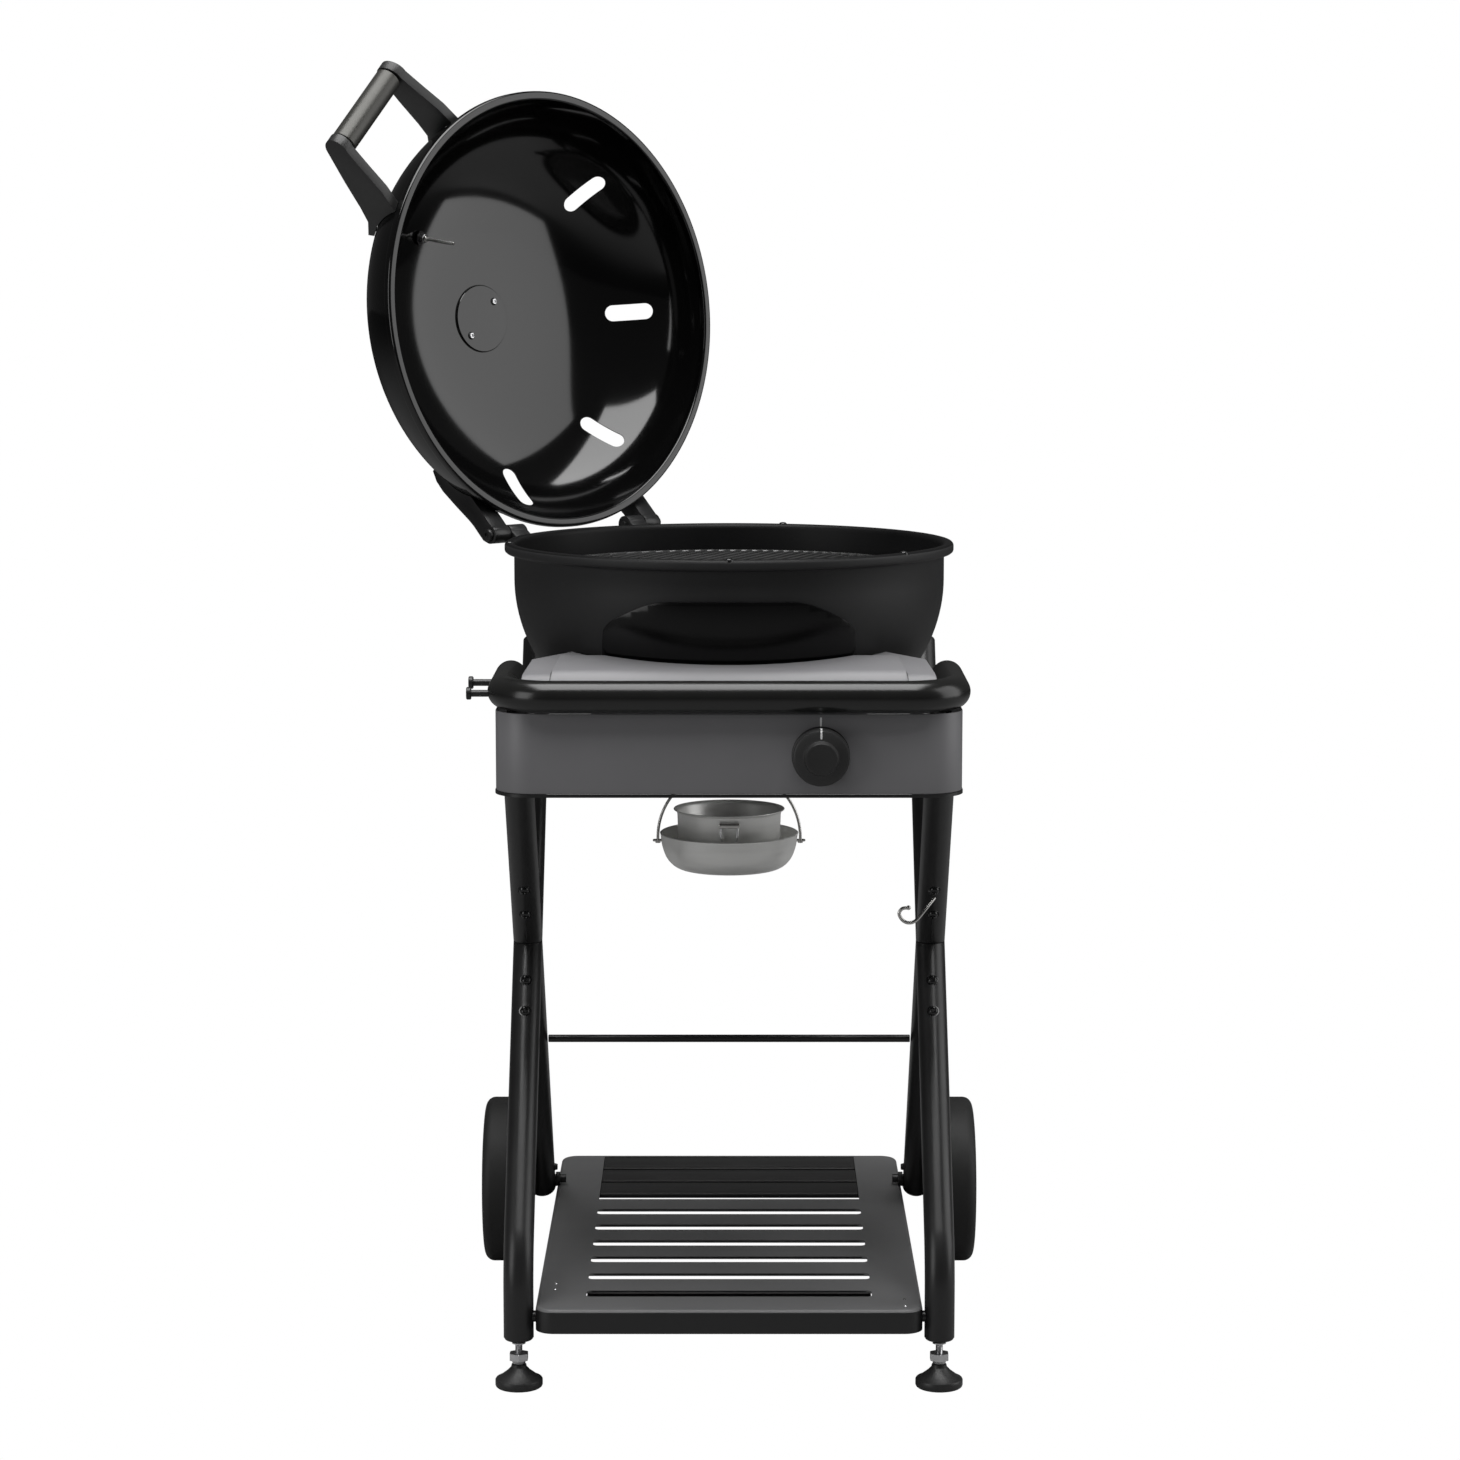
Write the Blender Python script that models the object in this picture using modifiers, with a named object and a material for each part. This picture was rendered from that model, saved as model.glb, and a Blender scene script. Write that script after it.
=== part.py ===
"""Gas kettle grill on a two-wheeled cart, lid open. Metres, +Z up, the cook stands at -Y.

Every size is measured in the cart's own frame: X = 0 is the cart's plane of symmetry, Y = 0 is the
kettle's axis and Z = 0 is the floor. The empty "cart" then moves the lot, so that the origin lies
under the middle of the whole object, open lid included.
"""

import math

import bmesh
import bpy
from mathutils import Matrix, Vector

# ---- driving dimensions -------------------------------------------------------------------------
ORIGIN_SHIFT = (0.0734, -0.0430, 0.0)  # the cart frame's place in the object's frame
GAP = 0.0003  # between pieces that touch

# cart
TUBE_R = 0.016
TUBE_WALL = 0.0015
LEG_X = 0.2234
CROSS_Y = -0.0132  # where the two legs of a side cross
CROSS_Z = 0.437
LEG_SLOPE = 1.30  # rise over run of the slanting legs
FOOT_Y = -0.2458
FRONT_LEG_FOOT_Z = 0.0540
LEG_BEND_R = 0.10
UPPER_FRONT_TOP = 0.700
UPPER_REAR_TOP = 0.745
LOWER_REAR_END = 0.082
WHEEL_R = 0.0971
WHEEL_W = 0.044
WHEEL_INNER_X = 0.2455
AXLE_R = 0.005
SHELF_TOP = 0.0895
SHELF_HALF = 0.2052
SHELF_FRONT = -0.268
SHELF_BACK = 0.390
SLOT_FRONT_Y = -0.2063  # middle of the front slot
SLOT_PITCH = 0.0666
SLOT_WIDTH = 0.0230
SLOT_HALF = 0.1530
SHELF_FLANGE = 0.026
SHEET = 0.002

# console
RAIL_R = 0.017
RAIL_X = 0.2345
RAIL_Y = -0.285
RAIL_Z = 0.7435
FASCIA_X = 0.2425
FASCIA_Y = -0.284
FASCIA_BOTTOM = 0.6425
FASCIA_TOP = 0.726
KNOB_X = 0.0945
KNOB_Z = 0.6830
KNOB_R = 0.0295

# kettle
RIM_R = 0.2462
RIM_Z = 0.881
BOWL_R = 0.2358
BOWL_KNEE_Z = 0.840  # below this the wall curves in
BOWL_DEPTH = 0.195  # from the knee to the bottom
BOWL_WALL = 0.0015
GRID_Z = 0.850

# lid, in its own closed frame: Z = 0 is the plane of its rim, the handle is at -Y
LID_R = 0.248
LID_SHELL_R = 0.2440
LID_DEPTH = 0.1275
LID_WALL = 0.0015
PLATE_R = 0.0385  # the round plate inside the crown, and its two screws
PLATE_SCREW_X = 0.0275
LID_CLOSED_Z = 0.8875  # height of the rim's plane with the lid closed
LID_OPEN = math.radians(95.5)
HINGE_ANGLE = math.radians(45.3)  # the hinge line's direction from +X
HINGE_REACH = 0.2502  # from the kettle's axis to the hinge line
HINGE_Z = 0.880
KNUCKLE_REACH = 0.1045  # from the hinge's middle to each knuckle
KNUCKLE_R = 0.010

# sides of the large round pieces
ROUND_STEPS = 36

COLOURS = {
    "black_coat": ((0.018, 0.018, 0.019), 0.35, 0.0),
    "grey_coat": ((0.16, 0.16, 0.165), 0.40, 0.0),
    "enamel": ((0.010, 0.010, 0.011), 0.12, 0.0),
    "steel": ((0.62, 0.61, 0.59), 0.30, 1.0),
    "cast_iron": ((0.03, 0.03, 0.03), 0.60, 0.6),
    "rubber": ((0.014, 0.014, 0.014), 0.75, 0.0),
    "plastic": ((0.028, 0.028, 0.029), 0.50, 0.0),
    "grip": ((0.10, 0.10, 0.095), 0.35, 0.5),
    "brass": ((0.60, 0.43, 0.18), 0.30, 1.0),
}


# ---- helpers ------------------------------------------------------------------------------------
def clear_scene():
    for obj in list(bpy.data.objects):
        bpy.data.objects.remove(obj, do_unlink=True)


def collection(name):
    group = bpy.data.collections.new(name)
    bpy.context.scene.collection.children.link(group)
    return group


def material(name):
    if name in bpy.data.materials:
        return bpy.data.materials[name]
    colour, roughness, metallic = COLOURS[name]
    mat = bpy.data.materials.new(name)
    mat.use_nodes = True
    shader = mat.node_tree.nodes["Principled BSDF"]
    shader.inputs["Base Color"].default_value = (*colour, 1.0)
    shader.inputs["Roughness"].default_value = roughness
    shader.inputs["Metallic"].default_value = metallic
    return mat


def place(obj, parent=None, at=(0, 0, 0), turn=(0, 0, 0)):
    obj.parent = parent
    obj.location = at
    obj.rotation_euler = turn
    return obj


def empty(name, parent=None, at=(0, 0, 0), turn=(0, 0, 0)):
    obj = bpy.data.objects.new(name, None)
    PARTS.objects.link(obj)
    return place(obj, parent, at, turn)


def from_bmesh(name, bm, mat, smooth=40):
    mesh = bpy.data.meshes.new(name)
    bm.to_mesh(mesh)
    bm.free()
    obj = bpy.data.objects.new(name, mesh)
    PARTS.objects.link(obj)
    mesh.materials.append(material(mat))
    mesh.shade_smooth()
    mesh.set_sharp_from_angle(angle=math.radians(smooth))
    return obj


def box(name, low, high, mat="black_coat"):
    low, high = Vector(low), Vector(high)
    bm = bmesh.new()
    scale = Matrix.Diagonal((*(high - low), 1.0))
    bmesh.ops.create_cube(bm, size=1.0, matrix=Matrix.Translation((low + high) / 2) @ scale)
    return from_bmesh(name, bm, mat, 30)


def rod(name, start, end, radius, mat="steel", sides=16, end_radius=None):
    """A straight round bar from start to end, or a cone with another end_radius."""
    start, end = Vector(start), Vector(end)
    along = end - start
    turn = Vector((0, 0, 1)).rotation_difference(along).to_matrix().to_4x4()
    bm = bmesh.new()
    bmesh.ops.create_cone(
        bm, cap_ends=True, segments=sides, radius1=radius, depth=along.length,
        radius2=radius if end_radius is None else end_radius,
        matrix=Matrix.Translation((start + end) / 2) @ turn,
    )
    return from_bmesh(name, bm, mat)


def turned(name, profile, mat, steps=48):
    """A profile of (radius, height) points, top to bottom down the outer side, turned round Z."""
    bm = bmesh.new()
    verts = [bm.verts.new((r, 0.0, z)) for r, z in profile]
    closed = profile[0][0] > 0
    for a, b in zip(verts, verts[1:] + verts[:1] if closed else verts[1:]):
        bm.edges.new((a, b))
    obj = from_bmesh(name, bm, mat)
    screw = obj.modifiers.new("Screw", "SCREW")
    screw.angle = 2 * math.pi
    screw.steps = screw.render_steps = steps
    screw.use_merge_vertices = True
    screw.merge_threshold = 0.00005
    return obj


def as_mesh(curve_obj, mat):
    """The curve object's shape as a welded mesh object of the same name, and the curve removed."""
    name = curve_obj.name
    curve_obj.name = name + "_curve"
    bpy.context.view_layer.update()
    graph = bpy.context.evaluated_depsgraph_get()
    mesh = bpy.data.meshes.new_from_object(curve_obj.evaluated_get(graph))
    bm = bmesh.new()
    bm.from_mesh(mesh)
    bmesh.ops.remove_doubles(bm, verts=bm.verts, dist=0.00002)
    bpy.data.objects.remove(curve_obj, do_unlink=True)
    return from_bmesh(name, bm, mat)


def pipe(name, points, radius, mat="black_coat", sides=12, closed=False, capped=True):
    """A round bar or wire along the points."""
    curve = bpy.data.curves.new(name, "CURVE")
    curve.dimensions = "3D"
    curve.bevel_depth = radius
    curve.bevel_resolution = sides // 2 - 2
    curve.use_fill_caps = capped and not closed
    spline = curve.splines.new("POLY")
    spline.points.add(len(points) - 1)
    for spot, (x, y, z) in zip(spline.points, points):
        spot.co = (x, y, z, 1.0)
    spline.use_cyclic_u = closed
    obj = bpy.data.objects.new(name, curve)
    PARTS.objects.link(obj)
    return as_mesh(obj, mat)


def sheet(name, outlines, thickness, mat="black_coat"):
    """A flat plate in XY, centred on Z = 0, with the first outline outside and the rest as holes."""
    curve = bpy.data.curves.new(name, "CURVE")
    curve.dimensions = "2D"
    curve.fill_mode = "BOTH"
    curve.extrude = thickness / 2
    for outline in outlines:
        spline = curve.splines.new("POLY")
        spline.points.add(len(outline) - 1)
        for spot, (x, y) in zip(spline.points, outline):
            spot.co = (x, y, 0.0, 1.0)
        spline.use_cyclic_u = True
    obj = bpy.data.objects.new(name, curve)
    PARTS.objects.link(obj)
    return as_mesh(obj, mat)


def ribbon(name, path, low, high, thickness, mat, inward=-1.0):
    """A standing strip of sheet along a path in XY."""
    bm = bmesh.new()
    verts = [bm.verts.new((x, y, low)) for x, y in path]
    edges = [bm.edges.new(pair) for pair in zip(verts, verts[1:])]
    raised = bmesh.ops.extrude_edge_only(bm, edges=edges)["geom"]
    for vert in (item for item in raised if isinstance(item, bmesh.types.BMVert)):
        vert.co.z = high
    obj = from_bmesh(name, bm, mat)
    solid = obj.modifiers.new("Solidify", "SOLIDIFY")
    solid.thickness = thickness
    solid.offset = inward
    return obj


def boolean(target, tool, operation="DIFFERENCE"):
    """Cut, join or intersect the target with the tool, which leaves the model."""
    modifier = target.modifiers.new(operation.title(), "BOOLEAN")
    modifier.operation = operation
    modifier.solver = "EXACT"
    modifier.object = tool
    tool.hide_render = True
    tool.display_type = "WIRE"
    for group in tool.users_collection:
        group.objects.unlink(tool)
    CUTTERS.objects.link(tool)
    tool.name = "tool_" + tool.name
    return target


def bevel(obj, width, segments=2, angle=40):
    modifier = obj.modifiers.new("Bevel", "BEVEL")
    modifier.width = width
    modifier.segments = segments
    modifier.limit_method = "ANGLE"
    modifier.angle_limit = math.radians(angle)
    return obj


def arc(centre, radius, start, end, steps):
    """Points on an arc in a plane, angles in degrees."""
    angles = (math.radians(start + (end - start) * i / steps) for i in range(steps + 1))
    return [(centre[0] + radius * math.cos(t), centre[1] + radius * math.sin(t)) for t in angles]


def rounded_box(low, high, radius, steps=4):
    """The outline of a rectangle with round corners, anticlockwise."""
    (x0, y0), (x1, y1) = low, high
    points = arc((x1 - radius, y1 - radius), radius, 0, 90, steps)
    points += arc((x0 + radius, y1 - radius), radius, 90, 180, steps)
    points += arc((x0 + radius, y0 + radius), radius, 180, 270, steps)
    points += arc((x1 - radius, y0 + radius), radius, 270, 360, steps)
    return points


def to_parent(obj, parent):
    obj.parent = parent
    for modifier in obj.modifiers:
        if modifier.type == "BOOLEAN" and modifier.object.parent is None:
            to_parent(modifier.object, parent)
    return obj


# ---- cart ---------------------------------------------------------------------------------------
def leg_y(z, side):
    """Y of a slanting leg's axis at height z; side is -1 for the leg whose top is at the front."""
    return CROSS_Y + side * (z - CROSS_Z) / LEG_SLOPE


def leg_tube(name, path, x, front, up):
    """A leg's round tube, mitred at the crossing, with the heads of its two bolts."""
    tube = pipe(name, [(x, y, z) for y, z in path], TUBE_R, sides=16, capped=False)
    wall = tube.modifiers.new("Solidify", "SOLIDIFY")
    wall.thickness = TUBE_WALL
    wall.offset = -1.0
    reach = 0.6
    y0, y1 = sorted((CROSS_Y + front * GAP / 2, CROSS_Y + front * reach))
    z0, z1 = sorted((CROSS_Z + up * GAP / 2, CROSS_Z + up * reach))
    boolean(tube, box(name + "_quadrant", (x - 0.05, y0, z0), (x + 0.05, y1, z1)), "INTERSECT")
    return tube


def bolt_head(name, x, z, side):
    """A button head on the front of a slanting tube."""
    y = leg_y(z, side)
    tilt = math.atan(1 / LEG_SLOPE) * side
    normal = Vector((0, -math.cos(tilt), math.sin(tilt)))
    foot = Vector((x, y, z)) + normal * (TUBE_R - 0.0009)
    return rod(name, foot, foot + normal * 0.0042, 0.0055, "black_coat", 8, end_radius=0.0038)


def legs(cart):
    beyond = 0.03 / LEG_SLOPE
    run = 1 / LEG_SLOPE
    for side_name, x in (("left", -LEG_X), ("right", LEG_X)):
        over = CROSS_Z - 0.03
        under = CROSS_Z + 0.03
        top = UPPER_FRONT_TOP
        path = [(leg_y(top, -1), top), (leg_y(over, -1), over)]
        upper_front = leg_tube(side_name + "_upper_front_leg", path, x, -1, 1)
        top = UPPER_REAR_TOP
        path = [(leg_y(over, 1), over), (leg_y(top, 1), top)]
        upper_rear = leg_tube(side_name + "_upper_rear_leg", path, x, 1, 1)
        path = [(leg_y(under, -1), under), (leg_y(LOWER_REAR_END, -1), LOWER_REAR_END)]
        lower_rear = leg_tube(side_name + "_lower_rear_leg", path, x, 1, -1)
        path = [(leg_y(under, 1), under)] + front_leg_bend() + [(FOOT_Y, FRONT_LEG_FOOT_Z)]
        lower_front = leg_tube(side_name + "_lower_front_leg", path, x, -1, -1)
        for number, z in enumerate((0.500, 0.4705)):
            head = bolt_head(f"{side_name}_upper_bolt_{number}", x, z, -1)
            boolean(upper_front, head, "UNION")
        for number, z in enumerate((0.404, 0.3725)):
            head = bolt_head(f"{side_name}_lower_bolt_{number}", x, z, 1)
            boolean(lower_front, head, "UNION")
        axle_y = leg_y(WHEEL_R, -1)
        hole = rod(
            side_name + "_axle_hole", (x - 0.03, axle_y, WHEEL_R), (x + 0.03, axle_y, WHEEL_R),
            AXLE_R + 0.0003,
        )
        boolean(lower_rear, hole)
        for tube in (upper_front, upper_rear, lower_rear, lower_front):
            to_parent(tube, cart)
        joiner(side_name + "_cross_joiner", x, cart)


def front_leg_bend():
    """The bend between the slanting and the upright stretch of a front leg."""
    lean = math.atan(1 / LEG_SLOPE)
    corner_z = CROSS_Z + (FOOT_Y - CROSS_Y) * LEG_SLOPE
    start_z = corner_z - LEG_BEND_R * math.tan(lean / 2)
    centre = (FOOT_Y + LEG_BEND_R, start_z)
    return arc(centre, LEG_BEND_R, 180 - math.degrees(lean), 180, 4)


def joiner(name, x, cart):
    """The X-shaped insert inside the four mitred tube ends."""
    radius = TUBE_R - TUBE_WALL - 0.0005
    reach = 0.075
    ends = [(leg_y(CROSS_Z + up * reach, side), CROSS_Z + up * reach) for side in (-1, 1) for up in (-1, 1)]
    first = rod(name, (x, *ends[0]), (x, *ends[1]), radius, "cast_iron", 12)
    second = rod(name + "_arm", (x, *ends[2]), (x, *ends[3]), radius, "cast_iron", 12)
    boolean(first, second, "UNION")
    return to_parent(first, cart)


def crossbar(cart):
    """The thin round bar between the two rear legs."""
    y = 0.090
    z = CROSS_Z - (y - CROSS_Y) * LEG_SLOPE
    reach = LEG_X - TUBE_R - 0.0008
    to_parent(rod("rear_crossbar", (-reach, y, z), (reach, y, z), 0.0043, "black_coat", 16), cart)


def wheels(cart):
    axle_y = leg_y(WHEEL_R, -1)
    inner_hub_r = 0.021
    for side_name, side in (("left", -1), ("right", 1)):
        # the fixed axle: a bolt through the leg with its head inside and its nut in the hub's end
        tip = WHEEL_INNER_X + WHEEL_W + 0.004
        axle = rod(
            side_name + "_wheel_axle", (side * 0.196, axle_y, WHEEL_R), (side * tip, axle_y, WHEEL_R),
            AXLE_R, "steel",
        )
        head_x = LEG_X - TUBE_R - 0.0005
        head = rod(
            side_name + "_axle_head", (side * (head_x - 0.0055), axle_y, WHEEL_R),
            (side * head_x, axle_y, WHEEL_R), 0.0085, "steel", 6,
        )
        boolean(axle, head, "UNION")
        nut = rod(
            side_name + "_axle_nut", (side * (tip - 0.006), axle_y, WHEEL_R),
            (side * (tip + 0.0005), axle_y, WHEEL_R), 0.0085, "steel", 6,
        )
        boolean(axle, nut, "UNION")
        to_parent(axle, cart)
        spin = empty(
            side_name + "_wheel_spin", cart, (side * (WHEEL_INNER_X + WHEEL_W / 2), axle_y, WHEEL_R),
            (0, side * math.pi / 2, 0),
        )
        # profiles in the wheel's own frame, its outer face at the top
        half = WHEEL_W / 2
        shoulder = 0.010
        seat = 0.074
        tyre = [(seat, half - 0.004), (seat + 0.006, half - 0.0005), (WHEEL_R - shoulder, half)]
        tyre += [(WHEEL_R - 0.0035, half - 0.0035), (WHEEL_R, half - shoulder), (WHEEL_R, shoulder - half)]
        tyre += [
            (WHEEL_R - 0.0035, 0.0035 - half), (WHEEL_R - shoulder, -half),
            (seat + 0.006, 0.0005 - half),
        ]
        tyre += [(seat, 0.004 - half)]
        place(turned(side_name + "_tyre", tyre, "rubber", 28), spin)
        web = 0.004
        outer = seat - GAP
        hub = [(AXLE_R + 0.0001, half - 0.007), (inner_hub_r - 0.002, half - 0.007), (inner_hub_r, web)]
        hub += [(outer - 0.005, web), (outer - 0.003, half - 0.004), (outer, half - 0.004)]
        hub += [(outer, 0.004 - half), (outer - 0.003, 0.004 - half), (outer - 0.005, -web)]
        hub += [(inner_hub_r, -web), (inner_hub_r - 0.002, 0.003 - half), (AXLE_R + 0.0001, 0.003 - half)]
        hub_obj = place(turned(side_name + "_wheel_hub", hub, "plastic", 28), spin)
        for number in range(5):
            turn = number * math.tau / 5 + 0.13
            spot = Vector((0.048 * math.cos(turn), 0.048 * math.sin(turn), 0))
            window = rod(
                f"{side_name}_hub_window_{number}", spot - Vector((0, 0, 0.03)),
                spot + Vector((0, 0, 0.03)), 0.014, "plastic", 8,
            )
            boolean(hub_obj, window)
            window.parent = spin


def feet(cart):
    for side_name, side in (("left", -1), ("right", 1)):
        x = side * LEG_X
        # the plug in the leg's end, with its flange under the tube
        bore = TUBE_R - TUBE_WALL - GAP
        stud_hole = 0.0043
        flange = FRONT_LEG_FOOT_Z - GAP
        plug = [(stud_hole, flange + 0.020), (bore, flange + 0.020), (bore, flange), (TUBE_R - 0.002, flange)]
        plug += [
            (TUBE_R - 0.002, flange - 0.003), (0.0075, flange - 0.003), (0.0075, flange - 0.0045),
            (stud_hole, flange - 0.0045),
        ]
        to_parent(place(turned(side_name + "_leg_plug", plug, "plastic", 16), cart, (x, FOOT_Y, 0)), cart)
        lift = empty(side_name + "_foot_adjust", cart, (x, FOOT_Y, 0))
        # the stud, with its lock nut run up to just above the pad
        stud = turned(
            side_name + "_foot_stud", [(0, 0.0630), (0.0040, 0.0630), (0.0040, 0.0215), (0, 0.0215)],
            "steel", 16,
        )
        boolean(
            stud, rod(side_name + "_lock_nut", (0, 0, 0.0290), (0, 0, 0.0365), 0.0110, "steel", 6),
            "UNION",
        )
        to_parent(stud, lift)
        pad = [
            (0, 0.0212), (0.0075, 0.0212), (0.0095, 0.0205), (0.0115, 0.0170), (0.0215, 0.0105),
            (0.0250, 0.0085),
        ]
        pad += [(0.0252, 0.0015), (0.0240, 0), (0, 0)]
        place(turned(side_name + "_foot_pad", pad, "rubber", 24), lift)


def shelf(cart):
    """The bottom shelf: a pressed tray with its flanges turned down, slots, and a dark rear panel."""
    front, back = SHELF_FRONT, SHELF_BACK
    outline = rounded_box((-SHELF_HALF, front), (SHELF_HALF, back), 0.020, 3)
    panel_front = SLOT_FRONT_Y + 6 * SLOT_PITCH + SLOT_WIDTH / 2
    panel_back = back - 0.008
    tray = sheet("bottom_shelf", [outline], SHEET, "grey_coat")
    tray.location = (0, 0, SHELF_TOP - SHEET / 2)
    low = (-SHELF_HALF + SHEET, front + SHEET)
    high = (SHELF_HALF - SHEET, back - SHEET)
    inner = rounded_box(low, high, 0.018, 3)
    skirt = sheet("shelf_skirt", [outline, inner[::-1]], SHELF_FLANGE, "grey_coat")
    skirt.location = (0, 0, SHELF_TOP - SHELF_FLANGE / 2)
    boolean(tray, skirt, "UNION")
    for number in range(6):
        y = SLOT_FRONT_Y + number * SLOT_PITCH
        low = (-SLOT_HALF, y - SLOT_WIDTH / 2)
        high = (SLOT_HALF, y + SLOT_WIDTH / 2)
        cutter = sheet(f"shelf_slot_{number}", [rounded_box(low, high, 0.004, 1)], 0.012)
        cutter.location = (0, 0, SHELF_TOP)
        boolean(tray, cutter)
    low = (-SLOT_HALF, panel_front - SLOT_WIDTH, SHELF_TOP - 0.005)
    high = (SLOT_HALF, panel_back, SHELF_TOP + 0.01)
    boolean(tray, box("shelf_opening", low, high))
    to_parent(tray, cart)
    # the dark panel drops into the opening and hangs on the shelf's lip
    panel_low = (-SLOT_HALF + GAP, panel_front + GAP)
    panel_high = (SLOT_HALF - GAP, panel_back - GAP)
    slots = []
    for number in range(2):
        y = panel_front + (number + 1) * (panel_back - panel_front) / 3
        slots.append(
            rounded_box((-SLOT_HALF + 0.006, y - 0.004), (SLOT_HALF - 0.006, y + 0.004), 0.002, 1)[::-1]
        )
    panel = sheet(
        "shelf_rear_panel", [rounded_box(panel_low, panel_high, 0.002, 1)] + slots, 0.003, "plastic",
    )
    place(panel, cart, (0, 0, SHELF_TOP - 0.0010))


def console(cart):
    # handle rail: one bent tube round the front and both sides, its ends turned down
    corner = 0.055
    drop = 0.035
    end_y = -0.070
    half = [(0.0, RAIL_Y)] + arc((RAIL_X - corner, RAIL_Y + corner), corner, -90, 0, 4)
    path = [(x, y, RAIL_Z) for x, y in half]
    path += [(RAIL_X, y, z) for y, z in arc((end_y - drop, RAIL_Z - drop), drop, 90, 0, 4)]
    path.append((RAIL_X, end_y, 0.664))
    mirrored = [(-x, y, z) for x, y, z in reversed(path)]
    rail = pipe("handle_rail", mirrored + path[1:], RAIL_R, "black_coat", 12, capped=False)
    wall = rail.modifiers.new("Solidify", "SOLIDIFY")
    wall.thickness = TUBE_WALL
    wall.offset = -1.0
    rail.parent = cart
    # fascia: front and sides in one sheet with round corners
    corner = 0.040
    fascia_back = -0.060
    def wrap(x, y, r):
        right = [(x - r, y)] + arc((x - r, y + r), r, -90, 0, 6)[1:] + [(x, fascia_back)]
        return [(-px, py) for px, py in reversed(right)] + right
    fascia = ribbon(
        "fascia", wrap(FASCIA_X, FASCIA_Y, corner), FASCIA_BOTTOM, FASCIA_TOP, SHEET, "grey_coat", 1.0,
    )
    hole = rod(
        "fascia_stem_hole", (KNOB_X, FASCIA_Y - 0.01, KNOB_Z), (KNOB_X, FASCIA_Y + 0.02, KNOB_Z),
        0.0075,
    )
    boolean(fascia, hole)
    # the rail's end tubes and the lower curve of its corners stand clear of the sheet's upper edge
    clear_rail = pipe("fascia_rail_relief", mirrored + path[1:], RAIL_R + 0.0010, "black_coat", 12)
    boolean(fascia, clear_rail)
    to_parent(fascia, cart)
    trim = ribbon(
        "base_trim", wrap(FASCIA_X + 0.0008, FASCIA_Y - 0.0008, corner), FASCIA_BOTTOM - 0.0035,
        FASCIA_BOTTOM - GAP, 0.003, "black_coat", 1.0,
    )
    to_parent(trim, cart)
    console_top(cart)
    control(cart)


def console_top(cart):
    """The tilted grey top between rail and kettle, with a raised middle."""
    tilt = math.radians(8.0)
    def outline(front, side, shoulder_x, heel_x, bite, corner):
        start = math.degrees(math.acos(heel_x / bite))
        right = [(side, front + corner), (shoulder_x, -0.190)]
        right += arc((0, 0), bite, -start, -90, 8)
        left = [(-x, y) for x, y in reversed(right[:-1])]
        return [(-side + corner, front), (side - corner, front)] + right + left
    full = outline(-0.2655, 0.2150, 0.2070, 0.1660, 0.2290, 0.006)
    middle = outline(-0.2648, 0.1846, 0.1770, 0.1310, 0.2305, 0.001)
    top = sheet("console_top", [full], SHEET, "grey_coat")
    raised = sheet("console_top_panel", [middle], 0.007, "grey_coat")
    for plate, lift in ((top, 0.0), (raised, 0.0030)):
        plate.location = (0, 0.265 * math.cos(tilt) - 0.265, 0.7605 + 0.265 * math.sin(tilt) + lift)
        plate.rotation_euler = (tilt, 0, 0)
    boolean(top, raised, "UNION")
    to_parent(top, cart)


def control(cart):
    """Knob on its stem, and the gas valve behind the fascia with its inlet nipple."""
    push = empty("knob_push", cart, (KNOB_X, FASCIA_Y, KNOB_Z), (math.pi / 2, 0, 0))
    # in this frame +Z points out of the fascia, towards the cook
    stem = rod("valve_stem", (0, 0, -0.020), (0, 0, 0.016), 0.0040, "steel")
    flat = box("stem_flat", (-0.01, 0.0028, 0.002), (0.01, 0.01, 0.02))
    boolean(stem, flat)
    to_parent(stem, push)
    flat.parent = push
    knob = [
        (0, 0.0330), (0.0150, 0.0330), (0.0165, 0.0318), (0.0175, 0.0240), (0.0270, 0.0225),
        (KNOB_R, 0.0200),
    ]
    knob += [
        (KNOB_R, 0.0065), (0.0275, 0.0050), (0.0065, 0.0050), (0.0065, 0.0060), (0.0042, 0.0060),
        (0.0042, 0.0165), (0, 0.0165),
    ]
    place(turned("control_knob", knob, "plastic", 24), push)
    valve = rod(
        "gas_valve", (KNOB_X, FASCIA_Y + 0.012, KNOB_Z), (KNOB_X, FASCIA_Y + 0.040, KNOB_Z), 0.013,
        "brass", 20,
    )
    boolean(valve, rod("valve_bore", (KNOB_X, FASCIA_Y, KNOB_Z), (KNOB_X, FASCIA_Y + 0.027, KNOB_Z), 0.0042))
    nipple_y = FASCIA_Y + 0.030
    nipple = rod(
        "gas_inlet", (KNOB_X, nipple_y, KNOB_Z), (KNOB_X - 0.045, nipple_y, KNOB_Z - 0.012), 0.0050,
        "brass", 12,
    )
    boolean(valve, nipple, "UNION")
    jet_y = FASCIA_Y + 0.052
    jet = rod("gas_jet", (KNOB_X, FASCIA_Y + 0.036, KNOB_Z), (KNOB_X, jet_y, KNOB_Z), 0.0050, "brass", 12)
    boolean(valve, jet, "UNION")
    to_parent(valve, cart)


# ---- kettle -------------------------------------------------------------------------------------
def bowl_radius(z, grow=0.0):
    """The bowl's outer radius at height z."""
    if z >= BOWL_KNEE_Z:
        return BOWL_R + grow
    drop = min(1.0, (BOWL_KNEE_Z - z) / (BOWL_DEPTH + grow))
    return (BOWL_R + grow) * math.sqrt(1 - drop * drop)


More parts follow.
